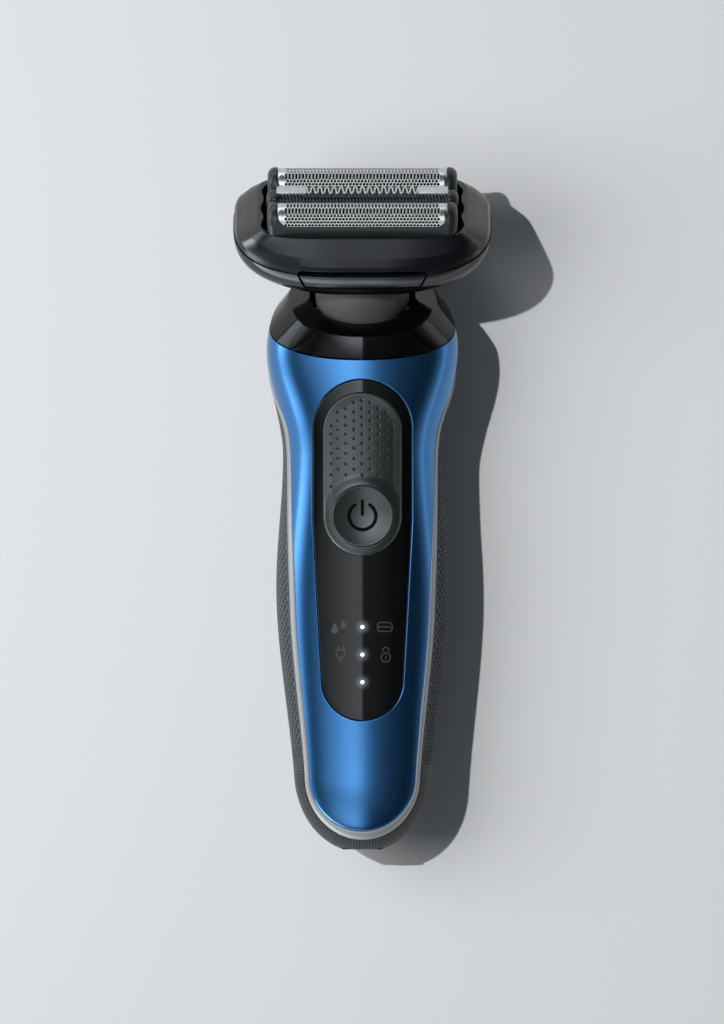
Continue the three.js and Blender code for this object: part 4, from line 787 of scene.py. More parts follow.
def pad_plan(margin, steps=(FOOT_STEPS, SIDE_STEPS, TOP_STEPS)):
    """Right half of the pad's outline: an arc round the button's centre, a straight side and a top arc."""
    foot = np.radians(np.linspace(90, 0, steps[0], endpoint=False))
    r = PAD_HALF + margin
    top = np.radians(np.linspace(0, 90, steps[2] + 1))[1:]
    side = np.linspace(BUTTON_Y, PAD_TOP - PAD_HALF, steps[1])
    x = np.concatenate([r * np.cos(foot), np.full(steps[1], r), r * np.cos(top)])
    y = np.concatenate([BUTTON_Y - r * np.sin(foot), side, PAD_TOP - PAD_HALF + r * np.sin(top)])
    return x, y


def mirrored(x, y):
    """The right half of a plan outline joined to its mirror image as one loop."""
    return np.concatenate([x, -x[-2:0:-1]]), np.concatenate([y, y[-2:0:-1]])


def mix(a, b, t):
    """Both coordinates blended from loop a to loop b."""
    return tuple(p + (q - p) * t for p, q in zip(a, b))


outer, inner = mirrored(*panel_plan(-SEAM)), mirrored(*pad_plan(SEAM))
eased_edge = mirrored(*panel_plan(-0.2))
rows = [on_front(*outer, 1.7), on_front(*outer, 0.2), on_front(*eased_edge, 0.05)]
rows += [on_front(*mix(eased_edge, inner, t), 0.03) for t in np.linspace(0.03, 1, 40)]
rows.append(on_front(*inner, 1.7))
new_piece("panel_plate", [ring(np.stack(rows))], "handle", panel_gloss, ["control_panel"],
          sharp=28)

# %% [markdown]
# ## The thumb pad
# The pad has a thin rounded lip, a slightly sunken field with rows of small pits for the thumb, and a mound
# that rises round the button. Its height is one function of x and y: lip, field and mound added up, less the
# pits. The rows of pits open out towards the button, and pits close to the border are drawn inwards.

# %% The thumb pad
PAD_STEPS, PAD_ROWS = (60, 130, 90), 150
PIT_R, PIT_DEPTH, PIT_MARGIN = 0.37, 0.36, 1.95
MOUND, MOUND_REACH = 0.6, 2.8
SCOOP, SCOOP_FROM, SCOOP_LENGTH = 0.5, 93.0, 13         # the field climbs this much towards its upper end
LIP_RISE, LIP_WIDTH, FIELD_DEPTH, FIELD_REACH = 0.36, 0.5, 0.3, 1.6

PIT_PITCH, PIT_OPENING, PIT_APART = 1.98, 0.07, 1.5
FIRST_PITS_Y = 106
EVEN_COLUMNS, ODD_COLUMNS = (0, 3.85, -3.85, 7.3, -7.3), (1.9, -1.9, 5.7, -5.7)


def pit_row_y(index):
    """Height of a row of pits on the pad: rows open out below the third by the square of their index."""
    return FIRST_PITS_Y - PIT_PITCH * index - PIT_OPENING * np.maximum(index - 3, 0) ** 2


odd_index = np.arange(8) + 0.5
odd_y = pit_row_y(odd_index) + 0.7 * np.exp(-odd_index)
pits = np.array([(x, y) for x in EVEN_COLUMNS for y in pit_row_y(np.arange(10))]
                + [(x, y) for x in ODD_COLUMNS for y in odd_y])
arc_y = PAD_TOP - PAD_HALF
out = np.hypot(pits[:, 0], np.maximum(pits[:, 1] - arc_y, 0))
pits = pits[out < PAD_HALF - PIT_MARGIN + 1.25]
out = np.hypot(pits[:, 0], np.maximum(pits[:, 1] - arc_y, 0))
pull = np.minimum(1, (PAD_HALF - PIT_MARGIN) / out.clip(0.1))
pulled_y = np.where(pits[:, 1] > arc_y, arc_y + (pits[:, 1] - arc_y) * pull, pits[:, 1])
pits = np.stack([pits[:, 0] * pull, pulled_y], axis=1)
apart = np.hypot(*(pits[:, None] - pits[None]).T) + 9 * np.triu(np.ones((len(pits), len(pits))))
pits = pits[apart.min(axis=0) > PIT_APART]
pits = pits[pits[:, 1] - BUTTON_Y > np.where(np.abs(pits[:, 0]) < 6.5, 8.9, 6.4)]


def pad_height(x, y, off):
    """How far the pad stands over the panel at x, y, off mm from its border: lip less field plus mound less
    the nearest pit."""
    lip = LIP_RISE * np.sqrt(1 - np.clip(1 - off / LIP_WIDTH, 0, 1) ** 2)
    climb = SCOOP * np.clip((y - SCOOP_FROM) / SCOOP_LENGTH, 0, 1) ** 2
    field = FIELD_DEPTH * np.clip((off - LIP_WIDTH) / FIELD_REACH, 0, 1) ** 0.8 - climb
    from_button = np.hypot(x, y - BUTTON_Y) - BUTTON_R
    mound = MOUND * smooth(np.clip(1 - from_button / MOUND_REACH, 0, 1))
    nearest = np.min(np.hypot(x[..., None] - pits[:, 0], y[..., None] - pits[:, 1]), axis=-1)
    pit = PIT_DEPTH * np.clip(1 - (nearest / PIT_R) ** 2, 0, 1)
    return lip - field + mound - pit


hole = BUTTON_R + 0.1
turn = np.radians(np.concatenate([np.linspace(-90, 0, PAD_STEPS[0], endpoint=False),
                                  np.linspace(0, 90, PAD_STEPS[1] + PAD_STEPS[2])]))
hole_loop = mirrored(hole * np.cos(turn), BUTTON_Y + hole * np.sin(turn))
pad_edge = mirrored(*pad_plan(-SEAM, PAD_STEPS))
rows = [on_front(*hole_loop, 2.6), on_front(*hole_loop, -MOUND + 0.2)]
for t in np.linspace(0, 1, PAD_ROWS):
    x, y = mix(hole_loop, pad_edge, t)
    beyond = np.maximum(np.maximum(y - arc_y, BUTTON_Y - y), 0)
    rows.append(on_front(x, y, -pad_height(x, y, PAD_HALF - SEAM - np.hypot(x, beyond))))
rows.append(on_front(*pad_edge, 1.0))
new_piece("thumb_pad_skin", [ring(np.stack(rows))], "handle", soft, ["thumb_pad"], sharp=50)
print("pits in the pad:", len(pits))

# %% [markdown]
# ## Button, printed marks and lights
# The button is turned: its profile, a shallow dish with an eased rim, goes once round. The power mark and the
# small signs are pad printed, a few hundredths of a millimetre thick. A printed line is a flat ribbon along a
# path with round ends, laid on whatever surface lies below it.

# %% The power button
DISH, BUTTON_EDGE, BUTTON_RAISE = 0.95, 0.3, 0.3
SKIRT, FLANGE, BUTTON_TALL = 3.7, 1.2, 4.5
PRINT_PROUD, PRINT_ROOT, CAP_POINTS = 0.02, 0.04, 6     # a print's height over and depth under its surface
button_top = float(front_height(BUTTON_Y)) + BUTTON_RAISE
circle = np.radians(np.linspace(0, 360, 160, endpoint=False))
profile = [((BUTTON_R - BUTTON_EDGE) * t, button_top - DISH * (1 - t * t)) for t in np.linspace(0.02, 1, 30)]
profile += [(BUTTON_R - BUTTON_EDGE + BUTTON_EDGE * math.sin(a), button_top - BUTTON_EDGE * (1 - math.cos(a)))
            for a in np.radians([20, 45, 70, 90])]
profile += [(BUTTON_R, button_top - SKIRT), (BUTTON_R + FLANGE, button_top - SKIRT),
            (BUTTON_R + FLANGE, button_top - BUTTON_TALL), (1.5, button_top - BUTTON_TALL)]
rows = [from_handle(r * np.cos(circle), BUTTON_Y + r * np.sin(circle), z) for r, z in profile]
new_piece("button_cap", [bar(np.stack(rows))], "button", soft, ["power_button"])


def in_dish(x, y, inset):
    """Points of the button's dish above x, y, sunk by inset."""
    r = np.hypot(x, y - BUTTON_Y) / (BUTTON_R - BUTTON_EDGE)
    return from_handle(x, y, button_top - DISH * (1 - r * r) - inset)


def stroke(path, half, surface):
    """Shell of a printed line: a ribbon of half width half along path, with round ends, on a surface. At an
    end the width shrinks as a half circle does."""
    path = np.asarray(path, float)
    along = np.gradient(path, axis=0)
    along /= np.linalg.norm(along, axis=1, keepdims=True)
    side = np.stack([-along[:, 1], along[:, 0]], axis=1)
    cap = np.radians(np.linspace(90, 0, CAP_POINTS, endpoint=False))
    lead = path[0] - along[0] * half * np.sin(cap)[:, None]
    tail = path[-1] + along[-1] * half * np.sin(cap[::-1])[:, None]
    middle = np.concatenate([lead, path, tail])
    width = half * np.concatenate([np.cos(cap), np.ones(len(path)), np.cos(cap[::-1])])
    side = np.concatenate([np.repeat(side[:1], CAP_POINTS, 0), side, np.repeat(side[-1:], CAP_POINTS, 0)])
    spot = middle[:, None] + side[:, None] * width[:, None, None] * np.linspace(-1, 1, 5)[None, :, None]
    x, y = spot[..., 0], spot[..., 1]
    return slab(surface(x, y, -PRINT_PROUD), surface(x, y, PRINT_ROOT))


def line(*corners):
    """A straight run of points through corners, eight to each stretch."""
    corners = np.array(corners, float)
    at = np.linspace(0, len(corners) - 1, 8 * (len(corners) - 1) + 1)
    return np.stack([np.interp(at, np.arange(len(corners)), corners[:, k]) for k in (0, 1)], axis=1)


def arc(x, y, r, start, end, ry=None):
    """Points of an arc about x, y from one angle in degrees to another."""
    a = np.radians(np.linspace(start, end, max(8, int(abs(end - start) / 6))))
    return np.stack([x + r * np.cos(a), y + (ry or r) * np.sin(a)], axis=1)


mark = [stroke(arc(0, BUTTON_Y, 3.17, 90 + 33, 450 - 33), 0.42, in_dish),
        stroke(line((0, BUTTON_Y + 3.6), (0, BUTTON_Y + 0.4)), 0.38, in_dish)]
new_piece("power_mark", mark, "button", ink)

# %% Small signs beside the lights


def drop(x, y, size):
    """Shell of a filled drop with its point up: x = size sin t sin(t/2)^1.5, y = 1.35 size cos t."""
    t = np.radians(np.linspace(0, 360, 48, endpoint=False))
    px, py = size * np.sin(t) * np.abs(np.sin(t / 2)) ** 1.5 * 1.15, 1.35 * size * np.cos(t)
    rows = [on_front(x + px * share, y + py * share, -PRINT_PROUD) for share in (0.1, 0.5, 1.0)]
    rows.append(on_front(x + px, y + py, PRINT_ROOT))
    return bar(np.stack(rows))


top_y, mid_y = max(LIGHT_Y), sorted(LIGHT_Y)[1]
LINE_HALF = 0.14

cell_box = [arc(6.25, top_y + 0.3, 0.75, 0, 90), arc(4.3, top_y + 0.3, 0.75, 90, 180),
            arc(4.3, top_y - 0.3, 0.75, 180, 270), arc(6.25, top_y - 0.3, 0.75, 270, 360),
            [(7.0, top_y + 0.3)]]
box_lines = [np.concatenate(cell_box), line((3.75, top_y), (6.8, top_y))]

left, right, shoulder = -6.15, -4.15, mid_y + 1.1
plug = [[(right, shoulder)], arc(-5.15, mid_y + 0.2, 1.0, 0, -180), [(left, shoulder)], [(right, shoulder)]]
plug_lines = [np.concatenate(plug), line((-5.15, mid_y - 0.9), (-5.15, mid_y - 1.9))]
plug_lines += [line((x, mid_y + 1.2), (x, mid_y + 2.0)) for x in (-5.75, -4.55)]

lock_lines = [arc(5.5, mid_y - 0.7, 1.05, -90, 270), arc(5.5, mid_y + 1.0, 0.72, -20, 200),
              line((5.5, mid_y - 0.4), (5.5, mid_y - 1.0))]

signs = [drop(-6.5, top_y - 0.2, 1.0), drop(-4.5, top_y + 0.7, 0.78)]
signs += [stroke(path, LINE_HALF, on_front) for path in box_lines + plug_lines + lock_lines]
new_piece("printed_signs", signs, "handle", grey_ink)

# %% [markdown]
# The lights are the polished ends of clear guides, each a small lens flush with the panel. They are the shaver's
# only real lights, so their material is mostly emission.

# %% Lights
LENS_RISE, LENS_SUNK, LENS_THICK = 0.1, 0.02, 0.6
# A hard white dot.
lens_glow, tree, shader, place = finish("clear_lit_polycarbonate", "#e8ecf2", 0.15,
                                        Emission_Color=linear("#f4f7ff"), Emission_Strength=2.2)
grain(tree, shader, place, 0.3, 0.002, 0.03)
for k, light_y in enumerate(LIGHT_Y, start=1):
    top = float(front_height(light_y))
    dome = np.radians(np.linspace(5, 90, 8))
    profile = [(LENS_R * math.sin(a), top + LENS_RISE * math.cos(a) - LENS_SUNK) for a in dome]
    profile += [(LENS_R, top - LENS_THICK), (LENS_R * 0.2, top - LENS_THICK)]
    turn = circle[::4]
    rows = [from_handle(r * np.cos(turn), light_y + r * np.sin(turn), z) for r, z in profile]
    new_piece(f"light_lens_{k}", [bar(np.stack(rows))], "handle", lens_glow,
              [f"light_guide_{k}"])

# %% [markdown]
# ## The head's shells
# Both shells of the head are stacks of rings: superellipses across the head's axis, whose height climbs
# towards the ends so that the parting line sweeps up there. The release bar sits in the lower shell's front.
# Its bay is cut into the stack: two columns of every ring are kept on the bay's outline, and the points
# between them are pushed inwards, so the bay has true, crisp walls.

# %% Rings of the head
QUARTER_END, QUARTER_FRONT = 34, 34
HEAD_HALF, HEAD_DEPTH, HEAD_FULL = 30.4, 16.4, 3.5
HEAD_BOTTOM, PARTING = 9.6, 16.2
PARTING_RISE, RISE_POWER = 4.0, 4.0
BAR_LOW, BAR_HIGH, BAR_HALF, BAR_FOOT = 12.3, 15.9, 15.15, 13.6
BAR_CORNER = 0.7
WALL = 0.12                                         # width of a crisp wall between two columns


def bar_half(h):
    """Half width of the release bar's bay at height h: its lower corners are rounded off."""
    t = np.clip((h - BAR_LOW) / (BAR_HIGH - BAR_LOW), 0, 1)
    corner = np.clip((h - BAR_LOW) / BAR_CORNER, 0, 1)
    return BAR_FOOT + (BAR_HALF - BAR_FOOT) * t - BAR_CORNER * (1 - np.sqrt(1 - (1 - corner) ** 2))


def head_ring(a, b, fullness, mark):
    """x and y of a superellipse, from its right end round the rear, with columns kept at x = mark + WALL and
    mark, and even steps along the curve on both sides of them."""
    turn = np.radians(np.linspace(0, 90, 3000))
    x, y = a * np.cos(turn) ** (2 / fullness), b * np.sin(turn) ** (2 / fullness)
    run = np.concatenate([[0], np.cumsum(np.hypot(np.diff(x), np.diff(y)))])
    cuts = np.interp([-(mark + WALL), -mark], -x, run)
    at = np.concatenate([np.linspace(0, cuts[0], QUARTER_END), np.linspace(cuts[1], run[-1], QUARTER_FRONT)])
    qx, qy = np.interp(at, run, x), np.interp(at, run, y)
    x = np.concatenate([qx, -qx[-2::-1], -qx[1:], qx[-2:0:-1]])
    y = np.concatenate([qy, qy[-2::-1], -qy[1:], -qy[-2:0:-1]])
    return x, y


def lower_plan(u):
    """Half width, half depth and end rise of the lower shell at a share u of its height."""
    drawn = (1 - u) ** 2.2
    return HEAD_HALF - 12 * drawn, HEAD_DEPTH - 2.4 * drawn, PARTING_RISE * u ** 1.5


def swept(x, a, rise):
    """Extra height of a ring towards its ends: rise times the fourth power of the way there."""
    return rise * (np.abs(x) / a) ** RISE_POWER


# %% The lower head shell
BAY_DEPTH = 2.85                                    # the bar and the millimetre it is pressed in


def shell_row(a, b, mark, height, sweep, pushed):
    """One ring of the lower shell. Its points on the front between -mark and mark are pushed inwards."""
    x, y = head_ring(a, b, HEAD_FULL, mark)
    in_bay = (np.abs(x) <= mark + 1e-6) & (y < 0)
    return from_head(x, np.where(in_bay, y + pushed, y), height + swept(x, *sweep))


sill = (BAR_LOW - HEAD_BOTTOM) / (PARTING - HEAD_BOTTOM)
below_bay = np.concatenate([np.linspace(0, 1, 15) ** 1.4 * (sill - 0.01), [sill - 0.003]])
beside_bay = np.linspace(sill + 0.003, 1, 28)
rows = []
for levels, pushed in ((below_bay, 0.0), (beside_bay, BAY_DEPTH)):
    for u in levels:
        a, b, rise = lower_plan(u)
        height = HEAD_BOTTOM + (PARTING - HEAD_BOTTOM) * u
        rows.append(shell_row(a, b, float(bar_half(height)), height, (a, rise), pushed))
for rim_width, drop, rise, pushed in ((1.5, 0.0, PARTING_RISE, BAY_DEPTH - 0.5),
                                      (1.8, 0.6, PARTING_RISE, BAY_DEPTH), (1.8, 1.0, 0.0, BAY_DEPTH)):
    rows.append(shell_row(HEAD_HALF - rim_width, HEAD_DEPTH - rim_width, BAR_HALF, PARTING - drop,
                          (HEAD_HALF, rise), pushed))
new_piece("lower_head_shell", [bar(np.stack(rows))], "head", satin, ["head_base"], sharp=30)

# %% The release bar
BAR_CLEAR, BAR_ROUND, BAR_SUNK, BAR_THICK = 0.2, 0.45, 0.06, 1.7
BAR_START = BAR_LOW + 0.06
across, up = np.meshgrid(np.linspace(-1, 1, 161), np.linspace(0, 1, 25), indexing="xy")
height = BAR_START + (BAR_HIGH - BAR_START) * up
x = across * (bar_half(height) - BAR_CLEAR)
a, b, rise = lower_plan((height - HEAD_BOTTOM) / (PARTING - HEAD_BOTTOM))
from_ends = (1 - np.abs(across)) * bar_half(height)
off = np.minimum(np.minimum(from_ends, height - BAR_START), BAR_HIGH - height)
rounding = BAR_ROUND * (1 - np.sqrt(1 - np.clip(1 - off / BAR_ROUND, 0, 1) ** 2))


def bar_front(sunk):
    """Points of the bar over its grid: the shell's own front, sunk."""
    return from_head(x, -b * (1 - (np.abs(x) / a) ** HEAD_FULL) ** (1 / HEAD_FULL) + sunk,
                     height + swept(x, a, rise))


new_piece("release_latch_bar", [slab(bar_front(BAR_SUNK + rounding), bar_front(BAR_THICK))], "release", satin,
          ["release_bar"], sharp=50)

# %% [markdown]
# ## The cassette's shell
# The cassette's frame has two facets that meet in a crease, and a deep opening for the shaving elements. The
# opening's ends are wavy: they come in a little between two elements. Over the release bar the frame's lower
# edge has a notch with rounded corners, which leaves room for a finger nail. The opening ends on a thin floor
# with a slot for each of the three drive blocks.

# %% The cassette frame


def block(x0, x1, y0, y1, h0, h1):
    """Shell of a plain block in the head's axes, between two places along each of them."""
    px, py = np.array([x0, x1, x1, x0]), np.array([y0, y0, y1, y1])
    return bar(np.stack([from_head(px, py, np.full(4, h)) for h in (h0, h1)]))


FRAME_LOW, CREASE_UP, FRAME_TOP, NOTCH = PARTING + 0.25, 20.8, 24.9, 0.95
OPENING_HALF, OPENING_DEPTH, WAVE, ELEMENT_PITCH = 23.75, 12.75, 0.7, 7.6
CREASE_HALF, CREASE_DEPTH, CREASE_RISE, CREASE_FULL = 27.2, 15.75, 2.6, 4.2
FLOOR_LOW, FLOOR_TOP, FLOOR_OVERLAP = 16.9, 17.9, (0.4, 0.2)      # how far the floor runs into the frame
SLOT_HALF, SLOT_DEPTH = 4.15, 1.95                  # half a slot's length and half its width
REAR_FULLER = 1.8                                   # the rear corners are squarer than the front ones


def notch_lift(x, y, height):
    """Extra height of the front's lower edge: a notch with rounded corners, fading out towards the crease."""
    inward = np.clip((BAR_HALF - np.abs(x)) / 0.9, 0, 1)
    fade = np.clip((CREASE_UP - height) / (CREASE_UP - FRAME_LOW), 0, 1)
    over_bar = (y < 0) & (np.abs(x) <= BAR_HALF + 1e-6)
    return np.where(over_bar, 0.35 + 0.65 * np.sqrt(1 - (1 - inward) ** 2), 0) * NOTCH * fade


def frame_row(a, b, height, rise, fullness):
    """One ring of the frame, in metres."""
    x, y = head_ring(a, b, fullness, BAR_HALF)
    behind = fullness + REAR_FULLER
    x = np.where(y > 0, np.sign(x) * a * (1 - np.clip(y / b, 0, 1) ** behind) ** (1 / behind), x)
    return from_head(x, y, height + swept(x, a, rise) + notch_lift(x, y, height))


def opening_row(half, depth, height, fullness):
    """One ring of the opening: its ends come in by WAVE between the elements."""
    x, y = head_ring(half, depth, fullness, BAR_HALF)
    wave = WAVE * np.sin(np.pi * y / ELEMENT_PITCH) ** 2 * np.clip((np.abs(x) - half + 1.5) / 1.2, 0, 1)
    return from_head(x - np.sign(x) * wave, y, height)


def blended_rows(start, end, count):
    """Rings from one outline of the frame to the next, without the first one: every size goes in a straight
    line."""
    start, end = np.array(start), np.array(end)
    return [frame_row(*(start + (end - start) * t)) for t in np.linspace(0, 1, count)[1:]]


# Each outline of the frame: half width, half depth, height, rise and fullness.
under_edge = (29.2, 15.5, FRAME_LOW + 0.1, PARTING_RISE, 3.5)
low_edge = (30.1, 16.3, FRAME_LOW, PARTING_RISE, 3.5)
facet_foot = (30.2, 16.35, FRAME_LOW + 0.15, PARTING_RISE, 3.5)
facet_bend = (29.6, 16.25, FRAME_LOW + 1.4, PARTING_RISE - 0.2, 3.6)
crease_line = (CREASE_HALF, CREASE_DEPTH, CREASE_UP, CREASE_RISE, CREASE_FULL)
bezel_top = (24.8, 13.6, FRAME_TOP - 0.05, 0.0, 5.2)
opening_edge = [(0.35, 0.25, FRAME_TOP, 6.5), (0.1, 0.08, FRAME_TOP - 0.06, 7),     # growth, height, fullness
                (0, 0, FRAME_TOP - 0.3, 7.5), (0, 0, FLOOR_LOW - 0.05, 7.5)]
rows = [frame_row(*under_edge), frame_row(*low_edge), frame_row(*facet_foot)]
rows += blended_rows(facet_foot, facet_bend, 9) + blended_rows(facet_bend, crease_line, 9)
rows += blended_rows(crease_line, bezel_top, 13)
rows += [opening_row(OPENING_HALF + wider, OPENING_DEPTH + deeper, height, fullness)
         for wider, deeper, height, fullness in opening_edge]

floor_half, floor_depth = OPENING_HALF + FLOOR_OVERLAP[0], OPENING_DEPTH + FLOOR_OVERLAP[1]
slot_sides = [ELEMENT_PITCH * k + side * SLOT_DEPTH for k in (-1, 0, 1) for side in (-1, 1)]
strips = [-floor_depth, *slot_sides, floor_depth]
floor_plates = [block(-SLOT_HALF, SLOT_HALF, y0, y1, FLOOR_LOW, FLOOR_TOP)
                for y0, y1 in zip(strips[::2], strips[1::2])]
floor_plates += [block(side * SLOT_HALF, side * floor_half, -floor_depth, floor_depth, FLOOR_LOW, FLOOR_TOP)
                 for side in (-1, 1)]
new_piece("cassette_shell", [ring(np.stack(rows)), *floor_plates], "cassette", satin,
          ["cassette_frame"], sharp=14)

# %% [markdown]
# ## The neck
# A plain turned drum in matte grey, which leans with the head inside the collar's hole. Its profile goes from
# the bore's edge over the stem and the rounded shoulder up to the head.

# %% The neck
profile = [(5.4, -6.7), (7.2, -6.7), (7.2, -1.7), (10.7, -1.3), (11.0, -1.1), (11.1, -0.8), (11.1, 9.3),
           (9.0, 9.3)]
rows = [from_head(r * np.cos(circle), r * np.sin(circle), h) for r, h in profile]
new_piece("neck_drum", [bar(np.stack(rows))], "head", neck_plastic, ["neck"], sharp=50)

# %% [markdown]
# ## The foils
# A foil is a thin sheet of steel bent over the cutter, with long slots across its crown and rows of staggered
# round holes down both sides. The holes are real here. The sheet is laid out flat as cells: a cell is a
# square with a hole in it, eight points on the border and eight on the hole. Every other row is moved by half
# a cell, and because each side of a cell has a point at its middle, the rows still share their points. The
# flat sheet is then bent over the foil's axis, and Solidify gives it its thickness.

# %% The foil's flat pattern
FOIL_R, FOIL_AXIS, FOIL_HALF, BAND_START = 4.1, 26.35, 20.2, 18.3
FOIL_LEG, CROWN_START = -10.0, 51.0
CELLS, HOLE_ROWS, SLOT_ROWS = 46, 6, 3
PITCH = 2 * BAND_START / CELLS
EDGE_LINE = 0.9                                     # the end bands have one more line of points this far out
HOLE_SHARE = 0.385                                  # a round hole's radius as a share of its cell


def cell_template(hole):
    """Eight border points of a unit cell and eight points of the hole in it, both starting at the right."""
    border = np.array([(1, 0), (1, 1), (0, 1), (-1, 1), (-1, 0), (-1, -1), (0, -1), (1, -1)]) / 2
    return np.concatenate([border, hole])


k = np.arange(8)
round_hole = HOLE_SHARE * np.stack([np.cos(k * np.pi / 4), np.sin(k * np.pi / 4)], axis=1)
slot_hole = np.array([(0.32, 0), (0.3, 0.37), (0, 0.45), (-0.3, 0.37), (-0.32, 0), (-0.3, -0.37), (0, -0.45),
                      (0.3, -0.37)])
cell_quads = np.stack([k, (k + 1) % 8, (k + 1) % 8 + 8, k + 8], axis=1)


def foil_rows():
    """Arc angles between the rows of cells, and each row's kind of hole: round, long over the crown, round."""
    lower = np.linspace(FOIL_LEG, CROWN_START, HOLE_ROWS + 1)
    crown = np.linspace(CROWN_START, 180 - CROWN_START, SLOT_ROWS + 1)
    edges = np.concatenate([lower, crown[1:], 180 - lower[::-1][1:]])
    kinds = [round_hole] * HOLE_ROWS + [slot_hole] * SLOT_ROWS + [round_hole] * HOLE_ROWS
    return edges, kinds


def plain_cells(x_edges, low, high):
    """Points and quads of a plain row between two arc angles, with a line of points halfway up."""
    grid = np.stack(np.meshgrid(x_edges, [low, (low + high) / 2, high], indexing="ij"), axis=-1)
    return grid.reshape(-1, 2), grid_faces(len(x_edges), 3, wrap_columns=False)


edges, kinds = foil_rows()
flat_points, flat_faces, count = [], [], 0
for n, hole in enumerate(kinds):
    low, high = edges[n], edges[n + 1]
    shift = (n % 2) * PITCH / 2
    cells = CELLS - n % 2
    centre_x = -BAND_START + PITCH / 2 + shift + PITCH * np.arange(cells)
    centre = np.stack([centre_x, np.full(cells, (low + high) / 2)], axis=1)
    points = centre[:, None] + cell_template(hole) * np.array([PITCH, high - low])
    quads = (cell_quads + 16 * np.arange(cells)[:, None, None]).reshape(-1, 4)
    ends = np.array([BAND_START - shift] * (n % 2) + [BAND_START, BAND_START + EDGE_LINE, FOIL_HALF])
    for part_points, part_faces in ((points.reshape(-1, 2), quads), plain_cells(ends, low, high),
                                    plain_cells(-ends, low, high)):
        flat_points.append(part_points)
        flat_faces.append(part_faces + count)
        count += len(part_points)
flat_points, flat_faces = np.concatenate(flat_points), np.concatenate(flat_faces)
print("cells and plain faces of a foil:", len(flat_faces))

# %% The two foils
SHEET = 0.1


def add_foil(name, y, body, stands_for):
    """A foil: the flat pattern bent round its axis at y, thickened inwards by Solidify."""
    arc_angle = np.radians(flat_points[:, 1])
    points = from_head(flat_points[:, 0], y - FOIL_R * np.cos(arc_angle),
                       FOIL_AXIS + FOIL_R * np.sin(arc_angle))
    mesh = welded_mesh(name, points, flat_faces.tolist(), weld=2e-6, away_from=from_head(0.0, y, FOIL_AXIS))
    piece = add_piece(mesh, body, foil_steel, stands_for)
    wall = piece.modifiers.new("thickness", "SOLIDIFY")
    wall.thickness = SHEET * MM
    wall.offset = -1.0


add_foil("front_foil_sheet", -ELEMENT_PITCH, "front_float", ["front_foil"])
add_foil("rear_foil_sheet", ELEMENT_PITCH, "rear_float", ["rear_foil"])

# %% [markdown]
# ## The foils' carriers
# A carrier is an open trough: rails and end walls that leave room for the springs, a lip along each side of
# the foil, whose ends sweep up over the foil's corners, and two cheeks with large roundings.

# %% Carriers
SHROUD_R, LIP_ANGLE, LIP_WALL = 4.34, 9.0, 0.25
INNER_R, INNER_FACE, TUCK = 4.17, 4.3, 0.16         # inside of the lip, of its upright, and its edge's step
SWEEP_ANGLE, SWEEP_FROM = 68.0, 17.0
CHEEK_START, CHEEK_END, CHEEK_ROUND, CHEEK_LOW = 20.22, 22.35, 1.9, -2.3
SHROUD_LOW, CARRIER_LOW, POST_TOP = 22.4, 20.45, 24.1
TROUGH_HALF, END_WALL = 22.1, 0.45
LIP_ROWS, FACE_DROPS = 12, [0.3, 1.2, 2.6, FOIL_AXIS - SHROUD_LOW]


def trough(y, half, wall, rail_top):
    """Shells of a carrier's lower part: two rails along it, wall mm thick, and a wall at each end."""
    rails = [block(-TROUGH_HALF, TROUGH_HALF, y + side * half, y + side * (half - wall), CARRIER_LOW,
                   rail_top) for side in (-1, 1)]
    ends = [block(side * (TROUGH_HALF - END_WALL), side * TROUGH_HALF, y - half + wall, y + half - wall,
                  CARRIER_LOW, POST_TOP) for side in (-1, 1)]
    return rails + ends


def lip_shell(y, side):
    """A lip: rows go from its edge on the foil down over the shroud's corner and its upright face; the edge's
    arc angle rises as a quarter ellipse near both ends."""
    x = np.concatenate([np.linspace(-CHEEK_START, -SWEEP_FROM, 16, endpoint=False),
                        np.linspace(-SWEEP_FROM, SWEEP_FROM, 30, endpoint=False),
                        np.linspace(SWEEP_FROM, CHEEK_START, 16)])
    t = np.clip((np.abs(x) - SWEEP_FROM) / (CHEEK_START - SWEEP_FROM), 0, 1)
    edge = LIP_ANGLE + (SWEEP_ANGLE - LIP_ANGLE) * (1 - np.sqrt(1 - t ** 2))
    v = np.linspace(0, 1, LIP_ROWS)[:, None]
    angle = np.radians(edge * (1 - v))
    radius = SHROUD_R + LIP_WALL * (1 - np.clip(edge * (1 - v) / LIP_ANGLE, 0, 1)) - TUCK * (v == 0)
    face_height = FOIL_AXIS - np.array(FACE_DROPS)[:, None] + 0 * x
    along = np.concatenate([radius * np.cos(angle), np.full(face_height.shape, SHROUD_R + LIP_WALL)])
    height = np.concatenate([FOIL_AXIS + radius * np.sin(angle), face_height])
    in_along = np.concatenate([INNER_R * np.cos(angle), np.full(face_height.shape, INNER_FACE)])
    in_height = np.concatenate([FOIL_AXIS + INNER_R * np.sin(angle), face_height])
    return slab(from_head(x, y + side * along, height), from_head(x, y + side * in_along, in_height))


